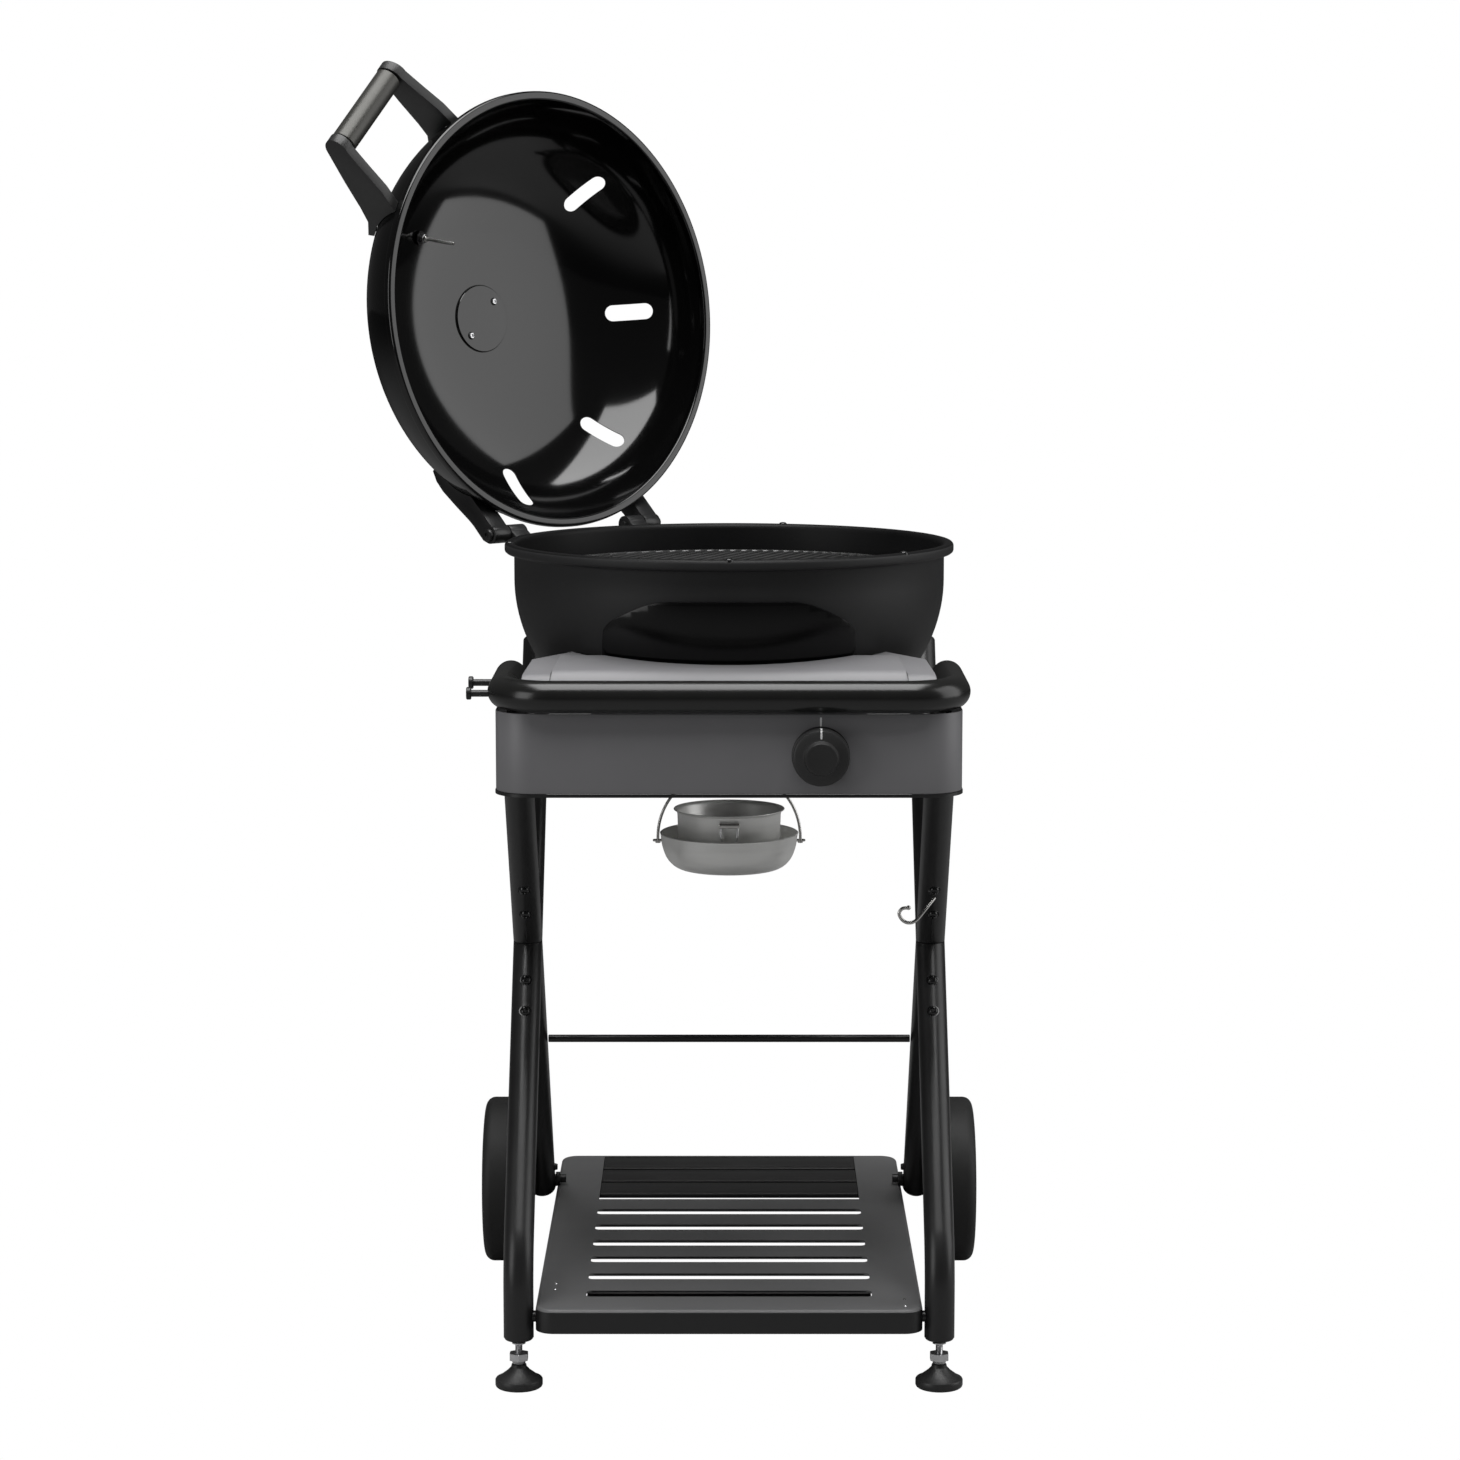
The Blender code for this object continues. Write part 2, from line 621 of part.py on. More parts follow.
def bowl_profile(grow, top):
    """Points down the bowl's outside from the given height to the middle of its bottom."""
    points = [(BOWL_R + grow, top)]
    for number in range(8):
        turn = number / 7 * math.pi / 2
        radius = (BOWL_R + grow) * math.cos(turn)
        points.append((max(radius, 0.0), BOWL_KNEE_Z - (BOWL_DEPTH + grow) * math.sin(turn)))
    points[-1] = (0.0, BOWL_KNEE_Z - BOWL_DEPTH - grow)
    return points


def kettle(cart):
    outer = bowl_profile(0.0, 0.866)
    inner = bowl_profile(-BOWL_WALL, RIM_Z - 0.006)
    roll = [(BOWL_R - BOWL_WALL + 0.001, RIM_Z - 0.002), (BOWL_R + 0.002, RIM_Z), (RIM_R - 0.003, RIM_Z)]
    roll += [
        (RIM_R, RIM_Z - 0.003), (RIM_R, RIM_Z - 0.0095), (RIM_R - 0.002, RIM_Z - 0.0115),
        (BOWL_R, RIM_Z - 0.0125),
    ]
    profile = list(reversed(inner)) + roll + outer
    bowl = turned("kettle_bowl", profile, "enamel", ROUND_STEPS)
    # outlet for the fat: a collar and a hole, and the eye that the cup's bail hangs in
    bottom = BOWL_KNEE_Z - BOWL_DEPTH
    collar = turned(
        "outlet_collar",
        [
            (0.018, bottom + 0.004), (0.0205, bottom + 0.004), (0.0205, bottom - 0.008),
            (0.018, bottom - 0.008),
        ],
        "enamel", 16,
    )
    hanger = box("bail_hanger", (-0.0015, -0.019, bottom - 0.022), (0.0015, 0.019, bottom + 0.0005))
    boolean(
        bowl,
        turned(
            "outlet_hole",
            [(0, bottom + 0.02), (0.0185, bottom + 0.02), (0.0185, bottom - 0.02), (0, bottom - 0.02)],
            "enamel", 16,
        ),
    )
    boolean(bowl, collar, "UNION")
    boolean(bowl, hanger, "UNION")
    boolean(bowl, rod("bail_eye", (-0.02, 0, BAIL_TOP_Z), (0.02, 0, BAIL_TOP_Z), 0.0032, "enamel", 10))
    # the mixing tube enters through the front wall
    boolean(bowl, rod("venturi_hole", VENTURI_INLET, VENTURI_RING, 0.0135, "enamel", 12))
    for number, turn in enumerate((75, -90, -40, 187)):
        t = math.radians(turn)
        x, y = (RIM_R - 0.005) * math.cos(t), (RIM_R - 0.005) * math.sin(t)
        stud = rod(f"rim_stud_{number}", (x, y, RIM_Z - 0.004), (x, y, RIM_Z + 0.0012), 0.0045, "enamel", 8)
        boolean(bowl, stud, "UNION")
    # lugs inside the wall that carry the cone and the cooking grid
    for number in range(3):
        t = math.radians(30 + 120 * number)
        for lug_name, end_r, z in (("grid", 0.213, GRID_Z - 0.007), ("cone", 0.189, 0.792)):
            start_r = bowl_radius(z - 0.004) - 0.0012
            start = (start_r * math.cos(t), start_r * math.sin(t), z)
            end = (end_r * math.cos(t), end_r * math.sin(t), z)
            boolean(bowl, rod(f"{lug_name}_lug_{number}", start, end, 0.004, "enamel", 8), "UNION")
    to_parent(bowl, cart)
    kettle_supports(cart)


BAIL_TOP_Z = BOWL_KNEE_Z - BOWL_DEPTH - 0.017
VENTURI_INLET = (KNOB_X, -0.228, KNOB_Z)
VENTURI_RING = (0.062, -0.078, 0.703)


def shell_piece(name, outline, grow_out, grow_in, y_low, y_high, mat):
    """A piece that follows the bowl's wall: an outline in XZ, between two offsets of the bowl."""
    prism = sheet(name, [outline], abs(y_high - y_low), mat)
    turn = Matrix.Rotation(math.pi / 2, 4, "X")
    move = Matrix.Translation((0, (y_low + y_high) / 2, 0))
    prism.data.transform(move @ turn)
    top = 0.875
    outside = [(0.0, top)] + bowl_profile(grow_out, top)
    inside = [(0.0, top + 0.01)] + bowl_profile(grow_in, top + 0.01)
    boolean(prism, turned(name + "_outside", outside, mat, ROUND_STEPS), "INTERSECT")
    boolean(prism, turned(name + "_inside", inside, mat, ROUND_STEPS))
    return prism


def kettle_supports(cart):
    # front: an arched shield with a leg at each end, standing on the console behind its top
    crown = [
        (0.0, 0.8370), (0.0705, 0.8360), (0.0880, 0.8318), (0.1050, 0.8240), (0.1230, 0.8145),
        (0.1325, 0.8040), (0.1332, 0.7925), (0.1345, 0.7560),
    ]
    heel = [
        (0.1130, 0.7560), (0.1080, 0.7740), (0.0980, 0.7600), (0.0860, 0.7590), (0.0800, 0.7690),
        (0.0, 0.7690),
    ]
    right = crown + heel
    left = [(-x, z) for x, z in reversed(right[1:-1])]
    shield = shell_piece("kettle_front_bracket", right + left, 0.006, 0.0006, -0.26, -0.12, "black_coat")
    to_parent(shield, cart)
    # rear: a bar between the two rear legs and a saddle on the bowl
    y, z = 0.2165, 0.722
    reach = LEG_X - TUBE_R - 0.0008
    bar = rod("rear_support_bar", (-reach, y, z), (reach, y, z), 0.009, "black_coat", 16)
    to_parent(bar, cart)
    saddle_outline = [
        (-0.060, 0.700), (0.060, 0.700), (0.060, 0.775), (0.045, 0.790), (-0.045, 0.790),
        (-0.060, 0.775),
    ]
    saddle = shell_piece("kettle_rear_bracket", saddle_outline, 0.0035, 0.0006, 0.10, 0.26, "black_coat")
    for number, x in enumerate((-0.045, 0.045)):
        ear = box(f"saddle_ear_{number}", (x - 0.003, 0.1850, 0.708), (x + 0.003, 0.2300, 0.740))
        boolean(saddle, ear, "UNION")
    boolean(
        saddle,
        turned(
            "saddle_bowl_clearance", [(0.0, 0.875)] + bowl_profile(0.0006, 0.875), "black_coat",
            ROUND_STEPS,
        ),
    )
    boolean(saddle, rod("saddle_bar_hole", (-0.1, y, z), (0.1, y, z), 0.0093, "black_coat", 16))
    to_parent(saddle, cart)


def burner(cart):
    """Ring burner with its mixing tube, the spark electrode's lead, the cone and the cooking grid."""
    ring_z = VENTURI_RING[2]
    ring_path = [(x, y, ring_z) for x, y in arc((0, 0), 0.100, 0, 360, 24)[:-1]]
    ring = pipe("burner_ring", ring_path, 0.009, "cast_iron", 8, closed=True)
    mixer = rod("venturi_tube", VENTURI_INLET, VENTURI_RING, 0.0105, "cast_iron", 12)
    boolean(ring, mixer, "UNION")
    bell_end = Vector(VENTURI_INLET)
    inward = (Vector(VENTURI_RING) - bell_end).normalized()
    bell = rod("venturi_mouth", bell_end - inward * 0.002, bell_end + inward * 0.020, 0.0125, "cast_iron", 12)
    boolean(ring, bell, "UNION")
    throat = rod(
        "venturi_throat", bell_end - inward * 0.01, bell_end + inward * 0.12, 0.0080, "cast_iron", 12,
    )
    boolean(ring, throat)
    to_parent(ring, cart)
    lead = [
        (
            0.0235 - (z - 0.760) ** 2 * 8, -(bowl_radius(z) + 0.0026), z,
        ) for z in (0.742, 0.749, 0.755, 0.761, 0.7665)
    ]
    to_parent(pipe("ignition_lead", lead, 0.0015, "rubber", 8), cart)
    lift = empty("cone_lift", cart, (0, 0, 0))
    cone = [
        (0.1930, 0.8010), (0.1955, 0.8010), (0.1955, 0.7985), (0.0350, 0.7450), (0.0330, 0.7450),
        (0.0330, 0.7470), (0.1910, 0.7990),
    ]
    place(turned("heat_cone", cone, "enamel", 28), lift)
    cooking_grid(cart)


def smooth(points, pieces):
    """A smooth curve through the points, as a finer list of points."""
    ends = [points[0]] + list(points) + [points[-1]]
    fine = []
    for a, b, c, d in zip(ends, ends[1:], ends[2:], ends[3:]):
        for step in range(pieces):
            t = step / pieces
            blend = (-t + 2 * t**2 - t**3, 2 - 5 * t**2 + 3 * t**3, t + 4 * t**2 - 3 * t**3, t**3 - t**2)
            fine.append(tuple(sum(w * p[axis] for w, p in zip(blend, (a, b, c, d))) / 2 for axis in range(3)))
    fine.append(points[-1])
    return fine


def cooking_grid(cart):
    """A round grate: a ring with parallel bars."""
    outer_r, ring_w, bar, pitch = 0.2240, 0.006, 0.0045, 0.0165
    lift = empty("grid_lift", cart, (0, 0, GRID_Z), (0, 0, math.radians(79)))
    outline = arc((0, 0), outer_r, 0, 360, 48)[:-1]
    inner = outer_r - ring_w
    slots = []
    for number in range(-13, 14):
        y0 = number * pitch - (pitch - bar) / 2
        y1 = y0 + pitch - bar
        worst = max(abs(y0), abs(y1))
        if worst > inner - 0.004:
            continue
        ends = [math.sqrt(inner**2 - y * y) for y in (y0, y1)]
        slots.append([(-ends[0], y0), (-ends[1], y1), (ends[1], y1), (ends[0], y0)])
    grate = sheet("cooking_grid", [outline] + slots, 0.005, "steel")
    place(grate, lift)


def grease_set(cart):
    """The bail under the bowl, the tray it carries and the cup that stands in the tray."""
    ear_x, ear_z = 0.0790, 0.5515
    swing = empty("bail_swing", cart, (0, 0, BAIL_TOP_Z))
    height = BAIL_TOP_Z - ear_z
    arch = []
    for number in range(13):
        turn = math.pi * number / 12
        arch.append((-ear_x * math.cos(turn), 0.0, -height + height * math.sin(turn)))
    stem = 0.007
    arch = [(-ear_x, 0, -height - stem)] + arch + [(ear_x, 0, -height - stem)]
    place(pipe("grease_bail", arch, 0.0016, "steel", 8), swing)
    tilt = empty("tray_tilt", swing, (0, 0, -height))
    base = 0.5165 - ear_z
    tray = [
        (0, base + 0.0015), (0.0550, base + 0.0015), (0.0712, -0.0175), (0.0745, 0.0050),
        (0.0762, 0.0050), (0.0726, -0.0185), (0.0560, base), (0, base),
    ]
    dish = turned("grease_tray", tray, "steel", 24)
    for number, side in enumerate((-1, 1)):
        ear = rod(
            f"tray_ear_{number}", (side * 0.0735, 0, -0.0040), (side * 0.0850, 0, -0.0040), 0.0058,
            "steel", 12,
        )
        boolean(dish, ear, "UNION")
        slot = rod(
            f"ear_hole_{number}", (side * ear_x, 0, -0.020), (side * ear_x, 0, 0.02), 0.0032, "steel",
            12,
        )
        boolean(dish, slot)
        ear.parent = tilt
        slot.parent = tilt
    place(dish, tilt)
    seat = base + 0.0015 + GAP
    lift = empty("cup_lift", tilt, (0, 0, 0))
    top = 0.5845 - ear_z
    cup = [
        (0, seat + 0.0012), (0.0505, seat + 0.0012), (0.0545, seat + 0.0080), (0.0575, top - 0.003),
        (0.0600, top - 0.0008),
    ]
    cup += [
        (0.0615, top - 0.0008), (0.0615, top - 0.0022), (0.0587, top - 0.0040), (0.0557, seat + 0.007),
        (0.0515, seat), (0, seat),
    ]
    beaker = turned("grease_cup", cup, "steel", 24)
    clip = box("cup_clip", (-0.0115, -0.0635, top - 0.030), (0.0115, -0.0555, top - 0.0095), "steel")
    bevel(clip, 0.001, 1)
    boolean(beaker, clip, "UNION")
    hollow = turned(
        "cup_hollow",
        [(0, top + 0.01), (0.0579, top + 0.01), (0.0545, seat + 0.012), (0, seat + 0.012)], "steel", 24,
    )
    boolean(beaker, hollow)
    clip.parent = lift
    hollow.parent = lift
    place(beaker, lift)


# ---- lid ----------------------------------------------------------------------------------------
def lid_height(radius, grow=0.0):
    """Height of the lid's outside above its rim's plane."""
    share = min(1.0, radius / (LID_SHELL_R + grow))
    return (LID_DEPTH + grow) * math.sqrt(max(0.0, 1 - share**3.2))


def lid_profile(grow, steps=9):
    """Points from the lid's crown down to its rim's plane."""
    points = []
    for number in range(steps + 1):
        radius = (LID_SHELL_R + grow) * math.sin(number / steps * math.pi / 2) ** 0.85
        points.append((radius, lid_height(radius, grow)))
    return points


def lid(cart):
    along = Vector((math.cos(HINGE_ANGLE), math.sin(HINGE_ANGLE), 0))
    outward = Vector((-along.y, along.x, 0))
    pivot = outward * HINGE_REACH + Vector((0, 0, HINGE_Z))
    hinge = empty("lid_hinge", cart, pivot)
    hinge.rotation_mode = "AXIS_ANGLE"
    hinge.rotation_axis_angle = (-LID_OPEN, *along)
    closed = empty("lid_frame", hinge, Vector((0, 0, LID_CLOSED_Z)) - pivot)
    outer = lid_profile(0.0)[:-1]
    inner = lid_profile(-LID_WALL)
    roll = [
        (LID_SHELL_R, 0.0055), (LID_R - 0.0012, 0.0050), (LID_R, 0.0030), (LID_R, -0.0030),
        (LID_R - 0.002, -0.0050),
    ]
    roll += [(LID_SHELL_R - 0.0045, -0.0050), (LID_SHELL_R - 0.0060, -0.0030)]
    shell = turned("lid_shell", outer + roll + list(reversed(inner[:-1])), "enamel", ROUND_STEPS)
    for number in range(4):
        turn = number * math.pi / 4
        ends = []
        for radius in (0.1850, 0.2150):
            ends.append(Vector((radius * math.cos(turn), radius * math.sin(turn), lid_height(radius))))
        slot = lid_slot(f"lid_slot_{number}", *ends)
        boolean(shell, slot)
        slot.parent = closed
    stem_hole = THERMOMETER_SPOT
    normal = THERMOMETER_NORMAL
    hole = rod("thermometer_hole", stem_hole - normal * 0.01, stem_hole + normal * 0.01, 0.0045)
    boolean(shell, hole)
    hole.parent = closed
    place(shell, closed)
    profile = [(0, -0.0020), (PLATE_R, -0.0020), (PLATE_R, -0.0040), (0, -0.0040)]
    lid_plate = turned("lid_inner_plate", profile, "enamel", 28)
    for number, x in enumerate((-PLATE_SCREW_X, PLATE_SCREW_X)):
        ends = ((x, 0, -0.0035), (x, 0, -0.0065))
        screw = rod(f"plate_screw_{number}", *ends, 0.0042, "steel", 10)
        boolean(lid_plate, screw, "UNION")
        screw.parent = closed
        screw.location = (0, 0, LID_DEPTH)
    place(lid_plate, closed, (0, 0, LID_DEPTH))
    thermometer(closed)
    handle(closed)
    hinges(cart, closed, along, outward)


def lid_slot(name, start, end):
    """A long round-ended cutter through the lid's wall."""
    middle = (start + end) / 2
    along = (end - start).normalized()
    side = Vector((0, 0, 1)).cross(along).normalized()
    out = along.cross(side)
    reach = (end - start).length / 2
    outline = arc((reach, 0), 0.0095, -90, 90, 6) + arc((-reach, 0), 0.0095, 90, 270, 6)
    slot = sheet(name, [outline], 0.030)
    frame = Matrix((along, side, out)).transposed().to_4x4()
    slot.data.transform(Matrix.Translation(middle) @ frame)
    return slot


THERMOMETER_R = 0.133
THERMOMETER_SPOT = Vector((0, -THERMOMETER_R, lid_height(THERMOMETER_R) - 0.001))
THERMOMETER_NORMAL = Vector((0, -0.33, 0.944)).normalized()


def thermometer(closed):
    spot, normal = THERMOMETER_SPOT, THERMOMETER_NORMAL
    turn = Vector((0, 0, 1)).rotation_difference(normal).to_euler()
    face = 0.018
    gauge = [
        (0, face - 0.003), (0.0235, face - 0.003), (0.0240, face), (0.0270, face),
        (0.0275, face - 0.002), (0.0275, 0.006),
    ]
    gauge += [
        (0.0255, 0.0040), (0.0080, 0.0040), (0.0080, 0.0020), (0.0042, 0.0020), (0.0042, -0.012),
        (0.0020, -0.012), (0.0018, -0.050), (0, -0.050),
    ]
    dial = place(turned("thermometer", gauge, "steel", 16), closed, spot, turn)
    nut = place(
        rod("thermometer_nut", (0, 0, -0.0042), (0, 0, -0.0095), 0.0058, "steel", 6), closed, spot,
        turn,
    )
    boolean(dial, nut, "UNION")
    needle = box(
        "thermometer_needle", (-0.0008, -0.0050, face - 0.0026), (0.0008, 0.0180, face - 0.0016),
        "rubber",
    )
    boolean(
        needle, rod("needle_boss", (0, 0, face - 0.0026), (0, 0, face - 0.0010), 0.0028, "rubber", 12),
        "UNION",
    )
    pointer = empty("needle_turn", closed, spot, turn)
    to_parent(needle, pointer)


def handle(closed):
    """Two flat arms and a round grip across the front of the lid."""
    grip_y, grip_z = -0.3200, 0.0345
    grip_half = 0.0510
    for side_name, side in (("left", -1), ("right", 1)):
        outline = [(-0.2280, 0.0100), (-0.2900, 0.0130)]
        outline += arc((grip_y, grip_z), 0.0155, -75, -255, 8)
        outline += [(-0.2820, 0.0560), (-0.2250, 0.0620), (-0.2080, 0.0780), (-0.2000, 0.0500)]
        arm = sheet(side_name + "_handle_arm", [outline], 0.011, "plastic")
        turn = Matrix(((0, 0, 1, 0), (1, 0, 0, 0), (0, 1, 0, 0), (0, 0, 0, 1)))
        arm.data.transform(turn)
        splay = Matrix.Translation((side * 0.0588, 0, 0)) @ shear_x(side * -0.10, grip_y)
        arm.data.transform(splay)
        boolean(
            arm,
            turned(
                side_name + "_arm_seat",
                [(0, LID_DEPTH + 0.0006)] + lid_profile(0.0006)[1:] + [
                    (LID_SHELL_R + 0.0006, -0.02), (0, -0.02),
                ],
                "plastic", ROUND_STEPS,
            ),
        )
        boolean(
            arm,
            turned(
                side_name + "_arm_rim",
                [(0, 0.0062), (LID_R + 0.001, 0.0062), (LID_R + 0.001, -0.03), (0, -0.03)], "plastic",
                ROUND_STEPS,
            ),
        )
        to_parent(arm, closed)
    grip = rod("handle_grip", (-grip_half, grip_y, grip_z), (grip_half, grip_y, grip_z), 0.0145, "grip", 28)
    to_parent(grip, closed)


def shear_x(amount, origin_y):
    """X moves by amount times the distance from origin_y."""
    matrix = Matrix.Identity(4)
    matrix[0][1] = -amount
    matrix[0][3] = amount * origin_y
    return matrix


def hinges(cart, closed, along, outward):
    """Kettle lugs, pins and lid arms of the two hinges."""
    frame = Matrix((outward, Vector((0, 0, 1)), along)).transposed().to_4x4()
    # in this frame X is outward, Y is up and Z is along the hinge line
    pin_r = 0.0040
    for side_name, side in (("left", -1), ("right", 1)):
        lug_at, arm_at, width = KNUCKLE_REACH - 0.0125, KNUCKLE_REACH + 0.0125, 0.0240
        # lug on the kettle, shaped in the kettle's frame
        lug = [(HINGE_REACH + 0.0095, HINGE_Z - 0.004)] + arc((HINGE_REACH, HINGE_Z), KNUCKLE_R, -20, 160, 8)
        lug += [(0.2170, 0.8660), (0.2000, 0.8620), (0.1980, 0.8280), (0.2170, 0.8400), (0.2400, 0.8620)]
        bracket = sheet(side_name + "_hinge_bracket", [lug], width, "black_coat")
        bracket.data.transform(frame @ Matrix.Translation((0, 0, side * lug_at)))
        inside = [(0.0, 0.89)] + [
            (BOWL_R + 0.0006, 0.89), (BOWL_R + 0.0006, BOWL_KNEE_Z),
        ] + bowl_profile(0.0006, 0.85)[1:]
        boolean(bracket, turned(side_name + "_bracket_seat", inside, "black_coat", ROUND_STEPS))
        rim = [
            (0, RIM_Z + 0.0012), (RIM_R + 0.0008, RIM_Z + 0.0012), (RIM_R + 0.0008, RIM_Z - 0.0135),
            (0, RIM_Z - 0.0135),
        ]
        boolean(bracket, turned(side_name + "_bracket_rim_clearance", rim, "black_coat", ROUND_STEPS))
        pivot = outward * HINGE_REACH + Vector((0, 0, HINGE_Z))
        ends = [pivot + along * side * reach for reach in (KNUCKLE_REACH - 0.034, KNUCKLE_REACH + 0.034)]
        boolean(bracket, rod(side_name + "_bracket_bore", ends[0], ends[1], pin_r + 0.0001))
        to_parent(bracket, cart)
        pin_ends = [
            pivot + along * side * reach for reach in (KNUCKLE_REACH - 0.0275, KNUCKLE_REACH + 0.0262)
        ]
        pin = rod(side_name + "_hinge_pin", pin_ends[0], pin_ends[1], pin_r, "steel", 16)
        head_ends = [
            pivot + along * side * reach for reach in (KNUCKLE_REACH + 0.0250, KNUCKLE_REACH + 0.0290)
        ]
        boolean(pin, rod(side_name + "_pin_head", head_ends[0], head_ends[1], 0.0070, "steel", 16), "UNION")
        to_parent(pin, cart)
        # arm on the lid, shaped in the lid's closed frame
        z0 = HINGE_Z - LID_CLOSED_Z
        arm = arc((HINGE_REACH, z0), KNUCKLE_R, -160, 20, 8)
        arm += [
            (0.2560, 0.0040), (0.2480, 0.0110), (0.2350, 0.0230), (0.2160, 0.0460), (0.1980, 0.0670),
            (0.1860, 0.0770), (0.1740, 0.0820), (0.1650, 0.0700), (0.1900, 0.0350), (0.2200, 0.0070),
        ]
        plate = sheet(side_name + "_hinge_arm", [arm], width - 0.0008, "black_coat")
        plate.data.transform(frame @ Matrix.Translation((0, 0, side * arm_at)))
        seat = [(0, LID_DEPTH + 0.0006)] + lid_profile(0.0006)[1:] + [
            (LID_SHELL_R + 0.0006, -0.02), (0, -0.02),
        ]
        boolean(plate, turned(side_name + "_hinge_arm_seat", seat, "black_coat", ROUND_STEPS))
        rim = [(0, 0.0062), (LID_R + 0.0008, 0.0062), (LID_R + 0.0008, -0.03), (0, -0.03)]
        boolean(plate, turned(side_name + "_hinge_arm_rim", rim, "black_coat", ROUND_STEPS))
        low = outward * HINGE_REACH + Vector((0, 0, z0))
        bore = [low + along * side * reach for reach in (KNUCKLE_REACH - 0.02, KNUCKLE_REACH + 0.04)]
        boolean(plate, rod(side_name + "_arm_bore", bore[0], bore[1], pin_r + 0.0001))
        to_parent(plate, closed)


# ---- small fittings -----------------------------------------------------------------------------
def fittings(cart):
    # two pegs for tools on the left arm of the rail
    for name, y, z in (("rear_tool_peg", -0.205, 0.7490), ("front_tool_peg", -0.240, 0.7420)):
        start = -(RAIL_X + RAIL_R) - 0.0004
        peg = rod(name, (start, y, z), (start - 0.0200, y, z), 0.0036, "black_coat", 12)
        boolean(
            peg,
            rod(name + "_head", (start - 0.0160, y, z), (start - 0.0210, y, z), 0.0066, "black_coat", 16),
            "UNION",
        )
        to_parent(peg, cart)
    # the wire hook on the right upper front leg
    stem_z = 0.4974
    stem_y = leg_y(stem_z, -1) - 0.0216
    points = [
        (0.2240, stem_y - 0.0006, stem_z), (0.2131, stem_y - 0.0100, 0.4858),
        (0.2030, stem_y - 0.0140, 0.4747), (0.1947, stem_y - 0.0150, 0.4725),
    ]
    points += [
        (0.1882, stem_y - 0.0150, 0.4758), (0.1849, stem_y - 0.0150, 0.4825),
        (0.1881, stem_y - 0.0150, 0.4880), (0.1950, stem_y - 0.0150, 0.4891),
    ]
    to_parent(pipe("leg_hook", smooth(points, 3), 0.0019, "steel", 8), cart)


clear_scene()
PARTS = collection("gas_kettle_grill")
CUTTERS = collection("cutters")
CART = empty("cart", None, ORIGIN_SHIFT)
legs(CART)
crossbar(CART)
wheels(CART)
feet(CART)
shelf(CART)
console(CART)
kettle(CART)
burner(CART)
grease_set(CART)
lid(CART)
fittings(CART)
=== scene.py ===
"""Gas kettle grill, lid open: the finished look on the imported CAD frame.

Sizes are in metres in the cart's own frame, as in the CAD: X = 0 is the cart's plane of symmetry,
Y = 0 is the kettle's axis and Z = 0 is the floor. CART moves them into the object's frame.
"""

import math

import bmesh
import bpy
from mathutils import Matrix, Vector


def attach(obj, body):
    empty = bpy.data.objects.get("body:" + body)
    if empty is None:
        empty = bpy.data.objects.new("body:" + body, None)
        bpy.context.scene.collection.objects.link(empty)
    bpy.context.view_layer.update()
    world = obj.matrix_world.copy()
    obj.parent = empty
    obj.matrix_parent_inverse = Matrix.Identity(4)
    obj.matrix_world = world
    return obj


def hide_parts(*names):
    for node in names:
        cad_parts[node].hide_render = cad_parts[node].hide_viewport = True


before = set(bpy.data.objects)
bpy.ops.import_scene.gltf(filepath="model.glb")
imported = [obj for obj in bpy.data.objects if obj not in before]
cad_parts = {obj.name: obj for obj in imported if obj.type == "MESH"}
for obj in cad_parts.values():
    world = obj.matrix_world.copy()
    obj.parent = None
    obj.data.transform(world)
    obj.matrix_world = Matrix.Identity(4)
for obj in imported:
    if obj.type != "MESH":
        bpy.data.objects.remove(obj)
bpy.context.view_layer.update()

# ---- dimensions, as in the CAD ----
CART = Matrix.Translation((0.0734, -0.043, 0.0))
TUBE_R = 0.016
LEG_X = 0.2234
CROSS_Y = -0.0132
CROSS_Z = 0.437
LEG_SLOPE = 1.3
FOOT_Y = -0.2458
LEG_FOOT_Z = 0.054
WHEEL_R = 0.0971
WHEEL_W = 0.044
WHEEL_INNER_X = 0.2455
SHELF_TOP = 0.0895
SHELF_HALF = 0.2052
SHELF_FRONT = -0.268
SHELF_BACK = 0.39
SLOT_FRONT_Y = -0.2063
SLOT_PITCH = 0.0666
SLOT_WIDTH = 0.023
SLOT_HALF = 0.153
RAIL_R = 0.017
RAIL_X = 0.2345
RAIL_Y = -0.285
RAIL_Z = 0.7435
FASCIA_X = 0.2425
FASCIA_Y = -0.284
FASCIA_BOTTOM = 0.6425
FASCIA_TOP = 0.726
KNOB_X = 0.0945
KNOB_Z = 0.683
KNOB_R = 0.0295
RIM_R = 0.2462
RIM_Z = 0.881
BOWL_R = 0.2358
KNEE_Z = 0.84
BOWL_DEPTH = 0.195
BOWL_WALL = 0.0015
GRID_Z = 0.85
LID_R = 0.248
LID_SHELL_R = 0.244
LID_DEPTH = 0.1275
LID_WALL = 0.0015
LID_CLOSED_Z = 0.8875
LID_OPEN = math.radians(95.5)
HINGE_ANGLE = math.radians(45.3)
HINGE_REACH = 0.2502
HINGE_Z = 0.88
KNUCKLE_REACH = 0.1045
BAIL_TOP_Z = 0.628
EAR_X = 0.079
EAR_Z = 0.5515
SIDES = (("left", -1), ("right", 1))
ALONG = Vector((math.cos(HINGE_ANGLE), math.sin(HINGE_ANGLE), 0))
OUTWARD = Vector((-ALONG.y, ALONG.x, 0))
PIVOT = OUTWARD * HINGE_REACH + Vector((0, 0, HINGE_Z))
LID = (
    CART
    @ Matrix.Translation(PIVOT)
    @ Matrix.Rotation(-LID_OPEN, 4, ALONG)
    @ Matrix.Translation(Vector((0, 0, LID_CLOSED_Z)) - PIVOT)
)


